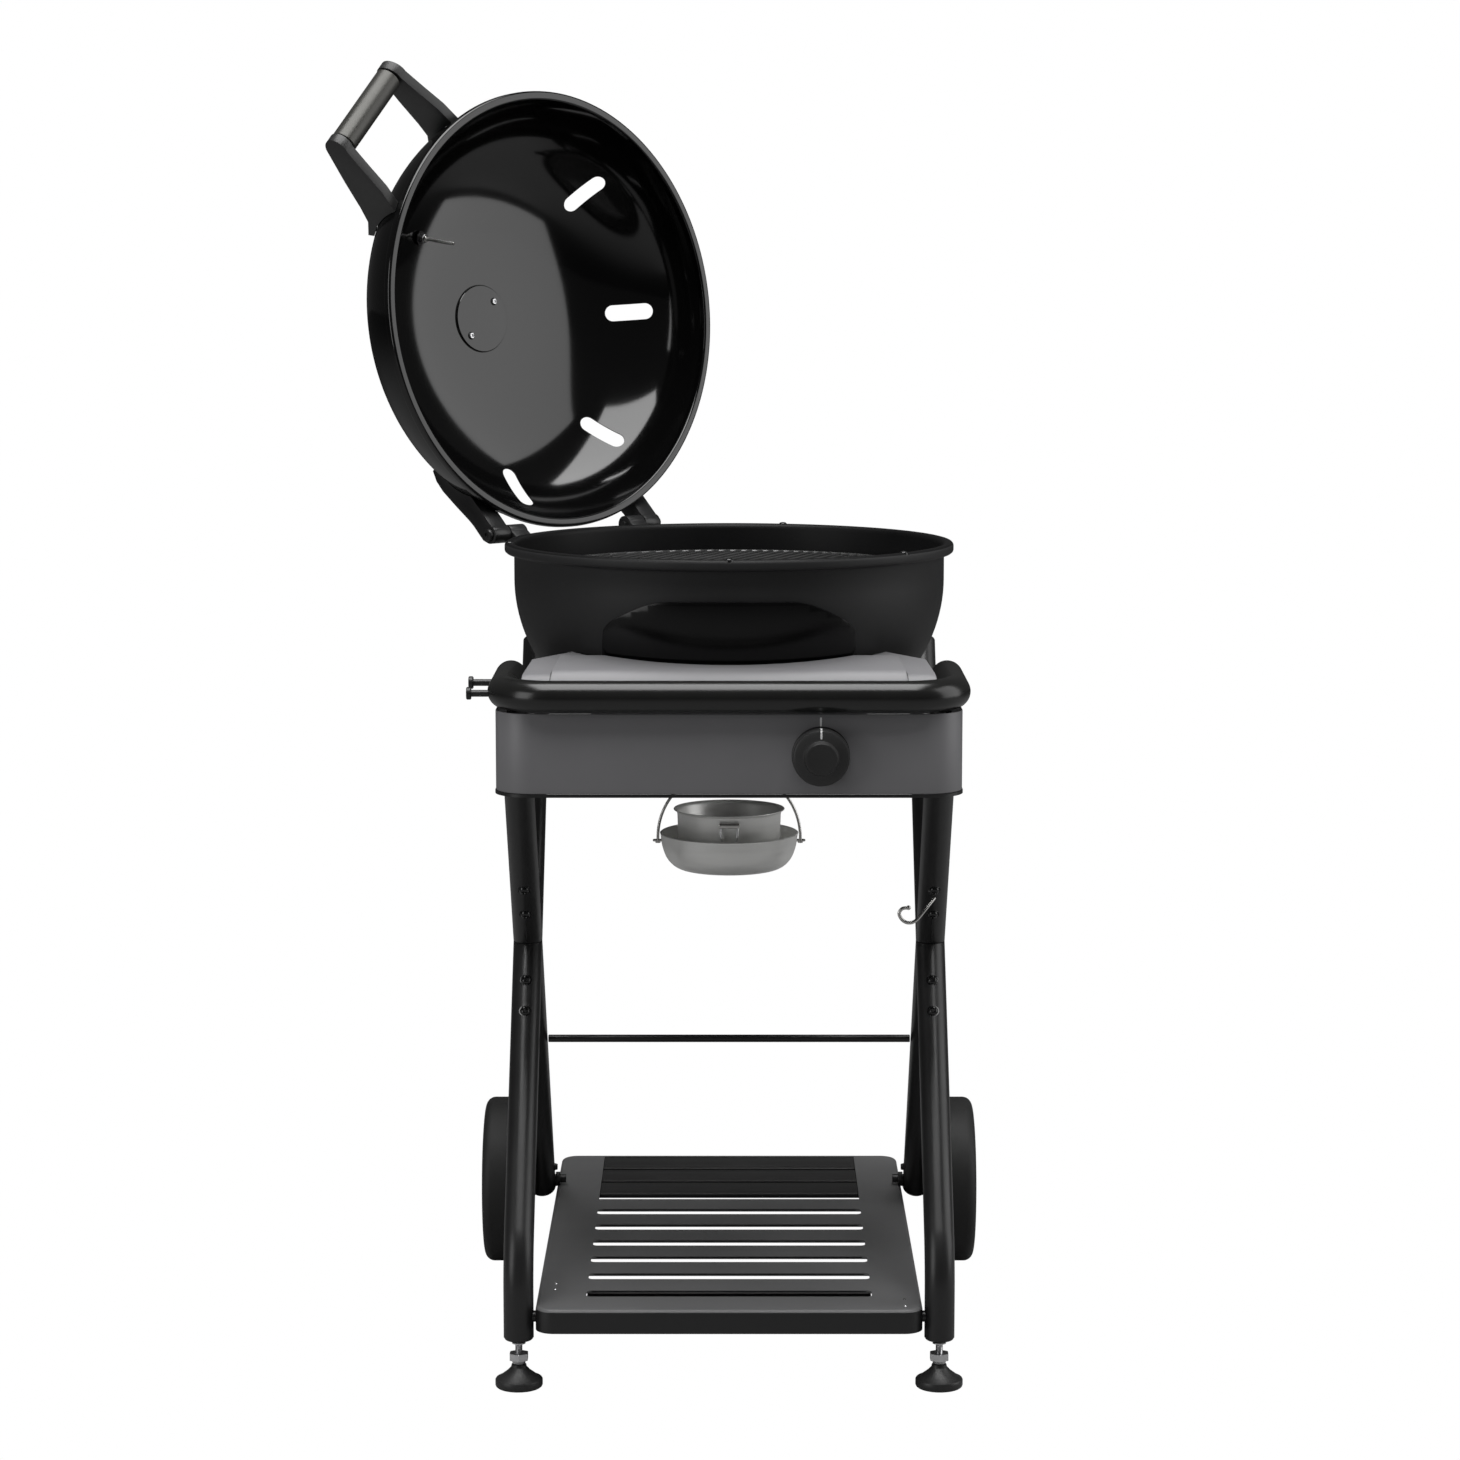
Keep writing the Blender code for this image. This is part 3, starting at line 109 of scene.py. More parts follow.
# ---- materials ----
def finish(
    name, colour, rough, metal=0.0, vary=0.12, rough_vary=0.05, grain=900.0, bump=0.02,
    specular=0.5, stretch=(1, 1, 1), cloud=14.0,
):
    """A surface whose colour and gloss drift a little over a fine grain."""
    mat = bpy.data.materials.new(name)
    mat.use_nodes = True
    nodes, links = mat.node_tree.nodes, mat.node_tree.links
    shader = nodes["Principled BSDF"]
    shader.inputs["Metallic"].default_value = metal
    shader.inputs["Specular IOR Level"].default_value = specular

    def add(kind, **values):
        node = nodes.new("ShaderNode" + kind)
        for key, value in values.items():
            node.inputs[key.replace("_", " ")].default_value = value
        return node

    where = add("TexCoord")
    scale = add("Mapping", Scale=stretch)
    links.new(where.outputs["Object"], scale.inputs["Vector"])
    clouds = add("TexNoise", Scale=cloud, Detail=6.0)
    fine = add("TexNoise", Scale=grain, Detail=3.0)
    for noise in (clouds, fine):
        links.new(scale.outputs["Vector"], noise.inputs["Vector"])
    mixed = add("Math")
    mixed.operation = "MULTIPLY_ADD"
    mixed.inputs[1].default_value = 0.35
    links.new(fine.outputs["Fac"], mixed.inputs[0])
    links.new(clouds.outputs["Fac"], mixed.inputs[2])
    ramp = add("ValToRGB")
    dark, light = ramp.color_ramp.elements
    dark.position, light.position = 0.4, 0.95
    dark.color = (*(c * (1 - vary) for c in colour), 1)
    light.color = (*(min(1.0, c * (1 + vary)) for c in colour), 1)
    links.new(mixed.outputs[0], ramp.inputs["Fac"])
    links.new(ramp.outputs["Color"], shader.inputs["Base Color"])
    low, high = max(0.0, rough - rough_vary), rough + rough_vary
    gloss = add("MapRange", From_Min=0.3, From_Max=0.7, To_Min=low, To_Max=high)
    links.new(clouds.outputs["Fac"], gloss.inputs["Value"])
    links.new(gloss.outputs["Result"], shader.inputs["Roughness"])
    relief = add("Bump", Strength=bump, Distance=0.0005)
    links.new(fine.outputs["Fac"], relief.inputs["Height"])
    links.new(relief.outputs["Normal"], shader.inputs["Normal"])
    return mat


MATERIALS = {
    "coat": finish("black_powder_coat", (0.015, 0.015, 0.0153), 0.34, bump=0.03, grain=1500),
    "rail": finish("rail_coat", (0.013, 0.013, 0.0125), 0.24, bump=0.06, grain=1500),
    "grey": finish("grey_powder_coat", (0.205, 0.203, 0.211), 0.42, vary=0.03, bump=0.1, grain=1700),
    "shelf": finish("shelf_coat", (0.15, 0.15, 0.152), 0.42, vary=0.04, bump=0.1, grain=1700),
    "kettle": finish("kettle_enamel", (0.023, 0.023, 0.0236), 0.55, bump=0.03, grain=1200, specular=0.3),
    # The bowl's inner faces: a darker, less shiny copy of the kettle enamel, painted shade inside the bowl.
    "inside": finish("kettle_inside_painted_shade", (0.006, 0.006, 0.0062), 0.45, bump=0.02, grain=700, specular=0.15),
    "shield": finish("shield_enamel", (0.0024, 0.0024, 0.0025), 0.22, bump=0.02, grain=700, specular=0.3),
    "lining": finish(
        "lid_lining", (0.003, 0.003, 0.0031), 0.09, rough_vary=0.01, bump=0.006, grain=500, specular=0.6,
    ),
    "gloss": finish("gloss_enamel", (0.0085, 0.0085, 0.0088), 0.05, rough_vary=0.015, bump=0.008, grain=500),
    "steel": finish(
        "drawn_steel", (0.66, 0.65, 0.63), 0.22, metal=1.0, vary=0.06, rough_vary=0.08, bump=0.05,
        grain=260, stretch=(1, 1, 14),
    ),
    # Pale steel for the grease dish, cup and gauge probe: its bright, mostly diffuse colour is partly the
    # steel's own and partly painted reflection of the bright surroundings.
    "reflection_painted_steel": finish(
        "pale_steel_painted_reflection", (0.88, 0.88, 0.86), 0.36, metal=0.35, vary=0.05, rough_vary=0.06, bump=0.04,
        grain=420, stretch=(1, 1, 10),
    ),
    "zinc": finish("zinc_plate", (0.72, 0.72, 0.73), 0.28, metal=1.0, vary=0.08, bump=0.08),
    "grate": finish("grate_steel", (0.1, 0.1, 0.1), 0.3, metal=0.6, vary=0.2, bump=0.05),
    "iron": finish("cast_iron", (0.03, 0.029, 0.028), 0.55, metal=0.6, vary=0.3, bump=0.35, grain=700),
    "rubber": finish("rubber", (0.0135, 0.0135, 0.0132), 0.62, vary=0.2, bump=0.25, grain=1100),
    "plastic": finish("black_plastic", (0.023, 0.023, 0.023), 0.42, vary=0.1, bump=0.15, grain=1300),
    "grip": finish("grip_sleeve", (0.06, 0.059, 0.054), 0.36, metal=0.4, vary=0.06, bump=0.015, grain=1400),
    "brass": finish("brass", (0.58, 0.42, 0.18), 0.3, metal=1.0, vary=0.1, bump=0.1),
    "white": finish("white_mark", (0.86, 0.86, 0.86), 0.5, vary=0.02),
    "dial": finish("dial_face", (0.72, 0.72, 0.7), 0.4, vary=0.03),
    "dark": finish("shelf_panel", (0.026, 0.026, 0.026), 0.48, vary=0.1, bump=0.12, grain=1300),
}


# ---- shapes ----
def at(x, y, z):
    return Matrix.Translation((x, y, z))


def mm(*points):
    """Points given in millimetres."""
    return [tuple(value / 1000 for value in point) for point in points]


def spun(degrees, axis):
    return Matrix.Rotation(math.radians(degrees), 4, axis)


def facing(direction):
    """The turn that takes +Z to the direction."""
    return Vector((0, 0, 1)).rotation_difference(direction).to_matrix().to_4x4()


def linked(name, data):
    obj = bpy.data.objects.new(name, data)
    bpy.context.scene.collection.objects.link(obj)
    return obj


def keep(bm, name="shape", outward=True):
    mesh = bpy.data.meshes.new(name)
    if outward:
        bmesh.ops.recalc_face_normals(bm, faces=bm.faces)
    bm.to_mesh(mesh)
    bm.free()
    return linked(name, mesh)


def bake(obj):
    """The object's modifiers and curve shape made into plain mesh."""
    bpy.context.view_layer.update()
    graph = bpy.context.evaluated_depsgraph_get()
    mesh = bpy.data.meshes.new_from_object(obj.evaluated_get(graph))
    fresh = linked(obj.name, mesh)
    bpy.data.objects.remove(obj, do_unlink=True)
    return fresh


def moved(obj, matrix):
    obj.data.transform(matrix)
    return obj


def box(low, high):
    low, high = Vector(low), Vector(high)
    bm = bmesh.new()
    scale = Matrix.Diagonal((*(high - low), 1.0))
    bmesh.ops.create_cube(bm, size=1.0, matrix=Matrix.Translation((low + high) / 2) @ scale)
    return keep(bm)


def rod(start, end, radius, sides=32, end_radius=None):
    start, end = Vector(start), Vector(end)
    along = end - start
    turn = facing(along)
    bm = bmesh.new()
    bmesh.ops.create_cone(
        bm, cap_ends=True, segments=sides, radius1=radius, depth=along.length,
        radius2=radius if end_radius is None else end_radius,
        matrix=Matrix.Translation((start + end) / 2) @ turn,
    )
    return keep(bm)


def turned(profile, steps=96):
    """(radius, height) points turned round Z; closed where it starts off the axis."""
    bm = bmesh.new()
    rings = []
    for radius, z in profile:
        if radius < 1e-6:
            rings.append([bm.verts.new((0, 0, z))])
        else:
            angles = (math.tau * k / steps for k in range(steps))
            rings.append([bm.verts.new((radius * math.cos(a), radius * math.sin(a), z)) for a in angles])
    pairs = list(zip(rings, rings[1:]))
    if len(rings[0]) > 1:
        pairs.append((rings[-1], rings[0]))
    for a, b in pairs:
        if len(a) == len(b) == 1:
            continue
        for k in range(steps):
            n = (k + 1) % steps
            corners = [a[0]] if len(a) == 1 else [a[k], a[n]]
            corners += [b[0]] if len(b) == 1 else [b[n], b[k]]
            bm.faces.new(corners)
    return keep(bm)


def pipe(points, radius, sides=24, closed=False):
    curve = bpy.data.curves.new("pipe", "CURVE")
    curve.dimensions = "3D"
    curve.bevel_depth = radius
    curve.bevel_resolution = sides // 2 - 2
    curve.use_fill_caps = not closed
    spline = curve.splines.new("POLY")
    spline.points.add(len(points) - 1)
    for spot, point in zip(spline.points, points):
        spot.co = (*point, 1.0)
    spline.use_cyclic_u = closed
    return weld(bake(linked("pipe", curve)))


def opened(obj):
    """The object's mesh as a bmesh, which closed() writes back."""
    bm = bmesh.new()
    bm.from_mesh(obj.data)
    return bm


def closed(bm, obj):
    bm.to_mesh(obj.data)
    bm.free()
    return obj


def weld(obj):
    bm = opened(obj)
    bmesh.ops.remove_doubles(bm, verts=bm.verts, dist=0.00001)
    bmesh.ops.recalc_face_normals(bm, faces=bm.faces)
    return closed(bm, obj)


def plate(outlines, thickness):
    """A flat plate in XY, centred on Z = 0; the first outline is outside, the rest are holes."""
    curve = bpy.data.curves.new("plate", "CURVE")
    curve.dimensions = "2D"
    curve.fill_mode = "BOTH"
    curve.extrude = thickness / 2
    for outline in outlines:
        spline = curve.splines.new("POLY")
        spline.points.add(len(outline) - 1)
        for spot, (x, y) in zip(spline.points, outline):
            spot.co = (x, y, 0.0, 1.0)
        spline.use_cyclic_u = True
    return weld(bake(linked("plate", curve)))


def cut(obj, tool, operation="DIFFERENCE"):
    modifier = obj.modifiers.new("Boolean", "BOOLEAN")
    modifier.operation = operation
    modifier.solver = "EXACT"
    modifier.object = tool
    fresh = bake(obj)
    bpy.data.objects.remove(tool, do_unlink=True)
    return fresh


def soften(obj, width, segments=3, angle=40):
    modifier = obj.modifiers.new("Bevel", "BEVEL")
    modifier.width = width
    modifier.segments = segments
    modifier.limit_method = "ANGLE"
    modifier.angle_limit = math.radians(angle)
    return bake(obj)


def split(shape, test):
    """The faces that pass the test (middle, normal) as one shape, and the others as a second."""
    halves = []
    for wanted in (True, False):
        bm = opened(shape)
        bm.normal_update()
        doomed = [f for f in bm.faces if test(f.calc_center_median(), f.normal) != wanted]
        bmesh.ops.delete(bm, geom=doomed, context="FACES")
        halves.append(keep(bm, "half", False))
    bpy.data.objects.remove(shape, do_unlink=True)
    return halves


def arc(centre, radius, start, end, steps):
    angles = (math.radians(start + (end - start) * i / steps) for i in range(steps + 1))
    return [(centre[0] + radius * math.cos(t), centre[1] + radius * math.sin(t)) for t in angles]


def rounded_box(low, high, radius, steps=10):
    (x0, y0), (x1, y1) = low, high
    points = arc((x1 - radius, y1 - radius), radius, 0, 90, steps)
    points += arc((x0 + radius, y1 - radius), radius, 90, 180, steps)
    points += arc((x0 + radius, y0 + radius), radius, 180, 270, steps)
    points += arc((x1 - radius, y0 + radius), radius, 270, 360, steps)
    return points


def rounded(points, radius, steps=6):
    """A closed outline with each corner rounded by up to the radius."""
    out = []
    count = len(points)
    for k in range(count):
        a, b, c = (Vector(points[(k + d) % count]) for d in (-1, 0, 1))
        reach = min(radius, (a - b).length * 0.45, (c - b).length * 0.45)
        start = b + (a - b).normalized() * reach
        end = b + (c - b).normalized() * reach
        for i in range(steps + 1):
            t = i / steps
            spot = start * (1 - t) ** 2 + b * (2 * t * (1 - t)) + end * t**2
            out.append((spot.x, spot.y))
    return out


def smooth(points, pieces):
    ends = [points[0]] + list(points) + [points[-1]]
    fine = []
    for a, b, c, d in zip(ends, ends[1:], ends[2:], ends[3:]):
        for step in range(pieces):
            t = step / pieces
            blend = (
                -t + 2 * t**2 - t**3, 2 - 5 * t**2 + 3 * t**3, t + 4 * t**2 - 3 * t**3, t**3 - t**2,
            )
            fine.append(
                tuple(sum(w * p[axis] for w, p in zip(blend, (a, b, c, d))) / 2 for axis in range(3))
            )
    fine.append(points[-1])
    return fine


def piece(name, parts, body, node, place=CART, angle=32):
    """Joins (shape, material) pairs into one piece that rides on the body and stands for the node."""
    whole = bmesh.new()
    mesh = bpy.data.meshes.new(name)
    names = []
    for shape, mat in parts:
        if mat not in names:
            names.append(mat)
            mesh.materials.append(MATERIALS[mat])
        index = names.index(mat)
        shape.data.materials.clear()
        for face in shape.data.polygons:
            face.material_index = index
        whole.from_mesh(shape.data)
        bpy.data.objects.remove(shape, do_unlink=True)
    whole.to_mesh(mesh)
    whole.free()
    mesh.transform(place)
    mesh.shade_smooth()
    mesh.set_sharp_from_angle(angle=math.radians(angle))
    obj = linked(name, mesh)
    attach(obj, body)
    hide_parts(node)


# ---- legs ----
def leg_y(z, side):
    return CROSS_Y + side * (z - CROSS_Z) / LEG_SLOPE


def leg_tube(path, x, front, up):
    """One of the four mitred tubes of a side."""
    tube = pipe([(x, y, z) for y, z in path], TUBE_R, sides=56)
    y0, y1 = sorted((CROSS_Y + front * 0.0002, CROSS_Y + front * 0.6))
    z0, z1 = sorted((CROSS_Z + up * 0.0004, CROSS_Z + up * 0.6))
    return cut(tube, box((x - 0.05, y0, z0), (x + 0.05, y1, z1)), "INTERSECT")


def bolt(x, z, side):
    """A button head with a round recess on a dark washer, on the front of a slanting tube."""
    y = leg_y(z, side)
    tilt = math.atan(1 / LEG_SLOPE) * side
    normal = Vector((0, -math.cos(tilt), math.sin(tilt)))
    foot = Vector((x, y, z)) + normal * (TUBE_R - 0.0009)
    head = turned(
        mm((0, 3.2), (1.8, 3.2), (2.4, 4.2), (3.4, 4), (4.8, 2.8), (5.5, 0.8))
        + mm((6.6, 0.8), (6.8, 0.2), (6.8, -0.8), (0, -0.8)),
        32,
    )
    turn = facing(normal)
    return moved(head, Matrix.Translation(foot) @ turn)


def legs():
    lean = math.atan(1 / LEG_SLOPE)
    corner_z = CROSS_Z + (FOOT_Y - CROSS_Y) * LEG_SLOPE
    bend_r = 0.1
    start_z = corner_z - bend_r * math.tan(lean / 2)
    bend = arc((FOOT_Y + bend_r, start_z), bend_r, 180 - math.degrees(lean), 180, 20)
    over, under = CROSS_Z - 0.03, CROSS_Z + 0.03
    for side, x in (("left", -LEG_X), ("right", LEG_X)):
        path = [(leg_y(0.7, -1), 0.7), (leg_y(over, -1), over)]
        parts = [(leg_tube(path, x, -1, 1), "coat"), *[(bolt(x, z, -1), "gloss") for z in (0.5159, 0.4849)]]
        # the tube's weld seam below the bolts
        seam = [(x, leg_y(z, -1) - TUBE_R * math.hypot(1, 1 / LEG_SLOPE), z) for z in (0.4795, 0.4395)]
        parts.append((pipe(seam, 0.0005, 8), "gloss"))
        name = side + "_upper_front_leg"
        piece(name + "_tube", parts, "cart", name)
        name = side + "_upper_rear_leg"
        path = [(leg_y(over, 1), over), (leg_y(0.745, 1), 0.745)]
        piece(name + "_tube", [(leg_tube(path, x, 1, 1), "coat")], "cart", name)
        name = side + "_lower_rear_leg"
        path = [(leg_y(under, -1), under), (leg_y(0.086, -1), 0.086)]
        along = Vector((0, 1 / LEG_SLOPE, -1)).normalized()
        turn = facing(along)
        cap = turned(mm((0, 6.2), (8, 5.6), (12.5, 3.6), (15.5, 0), (15.5, -8), (0, -8)), 48)
        cap = moved(cap, at(x, leg_y(0.086, -1), 0.086) @ turn)
        parts = [(leg_tube(path, x, 1, -1), "coat"), (cap, "plastic")]
        inward = -1 if x > 0 else 1
        for z in (0.1155, 0.091):
            y = leg_y(z, -1) - 0.002
            start = x + inward * (TUBE_R - 0.001)
            parts.append((rod((start, y, z), (start + inward * 0.0045, y, z), 0.0045, 24, 0.0034), "coat"))
        piece(name + "_tube", parts, "cart", name)
        name = side + "_lower_front_leg"
        path = [(leg_y(under, 1), under)] + bend + [(FOOT_Y, LEG_FOOT_Z)]
        parts = [(leg_tube(path, x, -1, -1), "coat"), *[(bolt(x, z, 1), "gloss") for z in (0.3921, 0.3623)]]
        # the spacer between the leg and the shelf's side
        parts.append((rod((inward * -SHELF_HALF, FOOT_Y, 0.0765), (x, FOOT_Y, 0.0765), 0.006, 24), "coat"))
        piece(name + "_tube", parts, "cart", name)
        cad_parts[side + "_cross_joiner"].data.materials.clear()
        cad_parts[side + "_cross_joiner"].data.materials.append(MATERIALS["iron"])
    z = CROSS_Z - (0.09 - CROSS_Y) * LEG_SLOPE
    bar = soften(rod((-0.2066, 0.09, z), (0.2066, 0.09, z), 0.0043, 32), 0.0008)
    piece("rear_crossbar_rod", [(bar, "coat")], "cart", "rear_crossbar")


def wheels():
    axle_y = leg_y(WHEEL_R, -1)
    half = WHEEL_W / 2
    seat = 0.074
    for side_name, side in SIDES:
        place = CART @ at(side * (WHEEL_INNER_X + half), axle_y, WHEEL_R)
        place = place @ spun(side * 90, "Y")
        edge = 0.011
        outer = arc((WHEEL_R - edge, half - edge), edge, 90, 0, 10)
        inner = [(r, -z) for r, z in reversed(outer)]
        tyre = [(seat, half - 0.005), (seat + 0.002, half - 0.0015), (seat + 0.006, half - 0.0005)]
        tyre += [(seat + 0.008, half - 0.0012), (seat + 0.01, half - 0.0002)] + outer
        tyre += inner + [(r, -z) for r, z in reversed(tyre[:5])]
        name = side_name + "_tyre"
        piece(name + "_tread", [(turned(tyre, 128), "rubber")], side_name + "_wheel", name, place)
        rim = seat - 0.0003
        hub = [
            (0.0053, half - 0.007), (0.015, half - 0.007), (0.0185, half - 0.0085), (0.0205, half - 0.013),
            (0.0225, 0.0055), (0.03, 0.004), (rim - 0.01, 0.0035), (rim - 0.006, 0.0065),
            (rim - 0.0035, half - 0.005), (rim - 0.001, half - 0.004), (rim, half - 0.0048),
            (rim, 0.0048 - half), (rim - 0.003, 0.004 - half), (rim - 0.006, -0.006), (0.0225, -0.004),
            (0.0195, 0.003 - half), (0.0053, 0.003 - half),
        ]
        body = turned(hub, 96)
        for number in range(5):
            turn = number * math.tau / 5 + 0.13
            spot = Vector((0.048 * math.cos(turn), 0.048 * math.sin(turn), 0))
            body = cut(body, rod(spot - Vector((0, 0, 0.03)), spot + Vector((0, 0, 0.03)), 0.014, 40))
        body = soften(body, 0.0009, 2, 35)
        name = side_name + "_wheel_hub"
        piece(name + "_moulding", [(body, "plastic")], side_name + "_wheel", name, place)
        tip = half + 0.004
        axle = rod((0, 0, -half - 0.051), (0, 0, tip), 0.005, 40)
        nut = soften(rod((0, 0, tip - 0.006), (0, 0, tip + 0.0004), 0.0084, 6), 0.0008, 2)
        head_z = -(WHEEL_INNER_X + half - LEG_X + TUBE_R + 0.0005)
        head = soften(rod((0, 0, head_z - 0.0055), (0, 0, head_z), 0.0084, 6), 0.0008, 2)
        washer = rod((0, 0, half - 0.0069), (0, 0, half - 0.0054), 0.0098, 40)
        parts = [(axle, "coat"), (nut, "zinc"), (head, "coat"), (washer, "zinc")]
        name = side_name + "_wheel_axle"
        piece(name + "_bolt", parts, "cart", name, place)


def thread(radius, low, high, pitch=0.00125):
    """A stud's outline with its thread as fine ridges."""
    points = [(0, high), (radius - 0.0006, high)]
    count = int((high - low - 0.0004) / pitch)
    for k in range(count):
        z = high - 0.0004 - k * pitch
        points += [(radius - 0.0001, z), (radius - 0.0006, z - pitch / 2)]
    return points + [(radius - 0.0006, low), (0, low)]


def feet():
    for side_name, side in SIDES:
        place = CART @ at(side * LEG_X, FOOT_Y, 0)
        flange = LEG_FOOT_Z - 0.0003
        plug = [
            (0.0043, flange + 0.02), (0.0142, flange + 0.02), (0.0142, flange), (0.015, flange),
            (0.015, flange - 0.0012), (0.0142, flange - 0.002), (0.0078, flange - 0.0022),
            (0.0074, flange - 0.0044), (0.0043, flange - 0.0044),
        ]
        name = side_name + "_leg_plug"
        piece(name + "_insert", [(turned(plug, 64), "plastic")], "cart", name, place)
        stud = turned(thread(0.004, 0.0215, 0.063), 32)
        nut = rod((0, 0, 0.029), (0, 0, 0.0365), 0.011, 6)
        cone = turned(mm((0, 38), (9, 38), (11.8, 35.5), (11.8, 30), (9, 27.5), (0, 27.5)), 48)
        nut = cut(nut, cone, "INTERSECT")
        low = turned(mm((4, 28.8), (6.8, 28.8), (7.5, 28), (6.8, 25.5), (4, 25.5)), 48)
        washer = turned(mm((4.2, 48.2), (7.2, 48.2), (7.2, 47), (4.2, 47)), 48)
        parts = [(stud, "zinc"), (nut, "zinc"), (low, "zinc"), (washer, "zinc")]
        name = side_name + "_foot_stud"
        piece(name + "_thread", parts, side_name + "_foot", name, place)
        pad = mm(
            (0, 25), (6.2, 25), (7.8, 24), (8.4, 21.2), (10, 19.6), (12.2, 17.2), (21.5, 10), (24.5, 8.8),
            (25.2, 7.6), (25.2, 2.2), (24.6, 0.8), (23.6, 0), (0, 0),
        )
        name = side_name + "_foot_pad"
        piece(name + "_cone", [(turned(pad, 80), "plastic")], side_name + "_foot", name, place)


# ---- shelf ----
def round_top(obj, height, width, segments=5):
    """Rounds only the edges that lie at the given height."""
    bm = opened(obj)
    edges = [
        e for e in bm.edges
        if all(abs(v.co.z - height) < 1e-5 for v in e.verts)
        and len(e.link_faces) == 2
        and e.calc_face_angle(0) > 0.6
    ]
    bmesh.ops.bevel(bm, geom=edges, offset=width, segments=segments, profile=0.5, affect="EDGES")
    return closed(bm, obj)


def shelf():
    deep = 0.026
    tray = plate([rounded_box((-SHELF_HALF, SHELF_FRONT), (SHELF_HALF, SHELF_BACK), 0.02, 16)], deep)
    tray = moved(tray, at(0, 0, SHELF_TOP - deep / 2))
    tray = round_top(tray, SHELF_TOP, 0.0045)
    skin = 0.0018
    hollow = rounded_box(
        (-SHELF_HALF + skin, SHELF_FRONT + skin), (SHELF_HALF - skin, SHELF_BACK - skin), 0.0182, 12,
    )
    hollow = moved(plate([hollow], 0.04), at(0, 0, SHELF_TOP - 0.0021 - 0.02))
    tray = cut(tray, hollow)
    panel_front = SLOT_FRONT_Y + 6 * SLOT_PITCH + SLOT_WIDTH / 2
    panel_back = SHELF_BACK - 0.008
    for number in range(6):
        y = SLOT_FRONT_Y + number * SLOT_PITCH
        outline = rounded_box((-SLOT_HALF, y - SLOT_WIDTH / 2), (SLOT_HALF, y + SLOT_WIDTH / 2), 0.0055, 6)
        tray = cut(tray, moved(plate([outline], 0.02), at(0, 0, SHELF_TOP)))
    tray = cut(
        tray, box((-SLOT_HALF, panel_front - SLOT_WIDTH, SHELF_TOP - 0.006), (SLOT_HALF, panel_back, 0.12)),
    )
    skirt, top = split(tray, lambda spot, normal: abs(normal.z) < 0.5 and spot.z < SHELF_TOP - 0.003)
    parts = [(top, "shelf"), (skirt, "coat")]
    # turned-down lips behind and in front of each slot
    for number in range(7):
        for edge in (-1, 1):
            y = SLOT_FRONT_Y + number * SLOT_PITCH + edge * (SLOT_WIDTH / 2 + 0.0009)
            if number < 6 or edge < 0:
                lip = box(
                    (-SLOT_HALF, y - 0.0009, SHELF_TOP - 0.0034),
                    (SLOT_HALF, y + 0.0009, SHELF_TOP - 0.0008),
                )
                parts.append((lip, "shelf"))
    for x, y, mat in (
        (-0.187, -0.19, "zinc"), (-0.187, -0.168, "zinc"), (0.187, -0.228, "gloss"),
        (0.187, -0.252, "zinc"),
    ):
        dot = turned(mm((0, 0.6), (1.2, 0.6), (1.8, 0), (1.8, -1), (0, -1)), 16)
        parts.append((moved(dot, at(x, y, SHELF_TOP)), mat))
    stiffener = box((-SLOT_HALF, SLOT_FRONT_Y - 0.012, 0.08), (SLOT_HALF, SLOT_FRONT_Y + 0.028, 0.0815))
    parts.append((stiffener, "dark"))
    piece("shelf_tray", parts, "cart", "bottom_shelf")
    slats = []
    pitch = (panel_back - panel_front) / 3
    for number in range(3):
        low = panel_front + number * pitch + 0.0005
        high = panel_front + (number + 1) * pitch - 0.0075
        slat = box(
            (-SLOT_HALF + 0.0004, low, SHELF_TOP - 0.0028), (SLOT_HALF - 0.0004, high, SHELF_TOP + 0.0004),
        )
        slats.append((soften(slat, 0.0012, 3), "dark"))
        step = box(
            (-SLOT_HALF + 0.004, low + 0.006, SHELF_TOP - 0.002),
            (SLOT_HALF - 0.004, high - 0.006, SHELF_TOP + 0.0009),
        )
        slats.append((soften(step, 0.0008, 2), "dark"))
    base = box(
        (-SLOT_HALF - 0.003, panel_front + 0.0004, SHELF_TOP - 0.005),
        (SLOT_HALF + 0.003, panel_back + 0.003, SHELF_TOP - 0.0026),
    )
    slats.append((base, "gloss"))
    piece("shelf_slats", slats, "cart", "shelf_rear_panel")


# ---- console ----
def rail_path():
    corner, drop, end_y = 0.055, 0.035, -0.07
    half = [(0.0, RAIL_Y)] + arc((RAIL_X - corner, RAIL_Y + corner), corner, -90, 0, 28)
    path = [(x, y, RAIL_Z) for x, y in half]
    path += [(RAIL_X, y, z) for y, z in arc((end_y - drop, RAIL_Z - drop), drop, 90, 0, 20)]
    path.append((RAIL_X, end_y, 0.664))
    return [(-x, y, z) for x, y, z in reversed(path)] + path[1:]


def wrapped(x, y, r, back, steps=20):
    right = [(x - r, y)] + arc((x - r, y + r), r, -90, 0, steps)[1:] + [(x, back)]
    return [(-px, py) for px, py in reversed(right)] + right


def strip(path, low, high, thickness):
    """A standing strip of sheet along a path in XY, the thickness on its inner side."""
    bm = bmesh.new()
    verts = [bm.verts.new((x, y, low)) for x, y in path]
    edges = [bm.edges.new(pair) for pair in zip(verts, verts[1:])]
    raised = bmesh.ops.extrude_edge_only(bm, edges=edges)["geom"]
    for vert in (item for item in raised if isinstance(item, bmesh.types.BMVert)):
        vert.co.z = high
    obj = keep(bm, "strip", False)
    solid = obj.modifiers.new("Solidify", "SOLIDIFY")
    solid.thickness = thickness
    solid.offset = 1.0
    return weld(bake(obj))


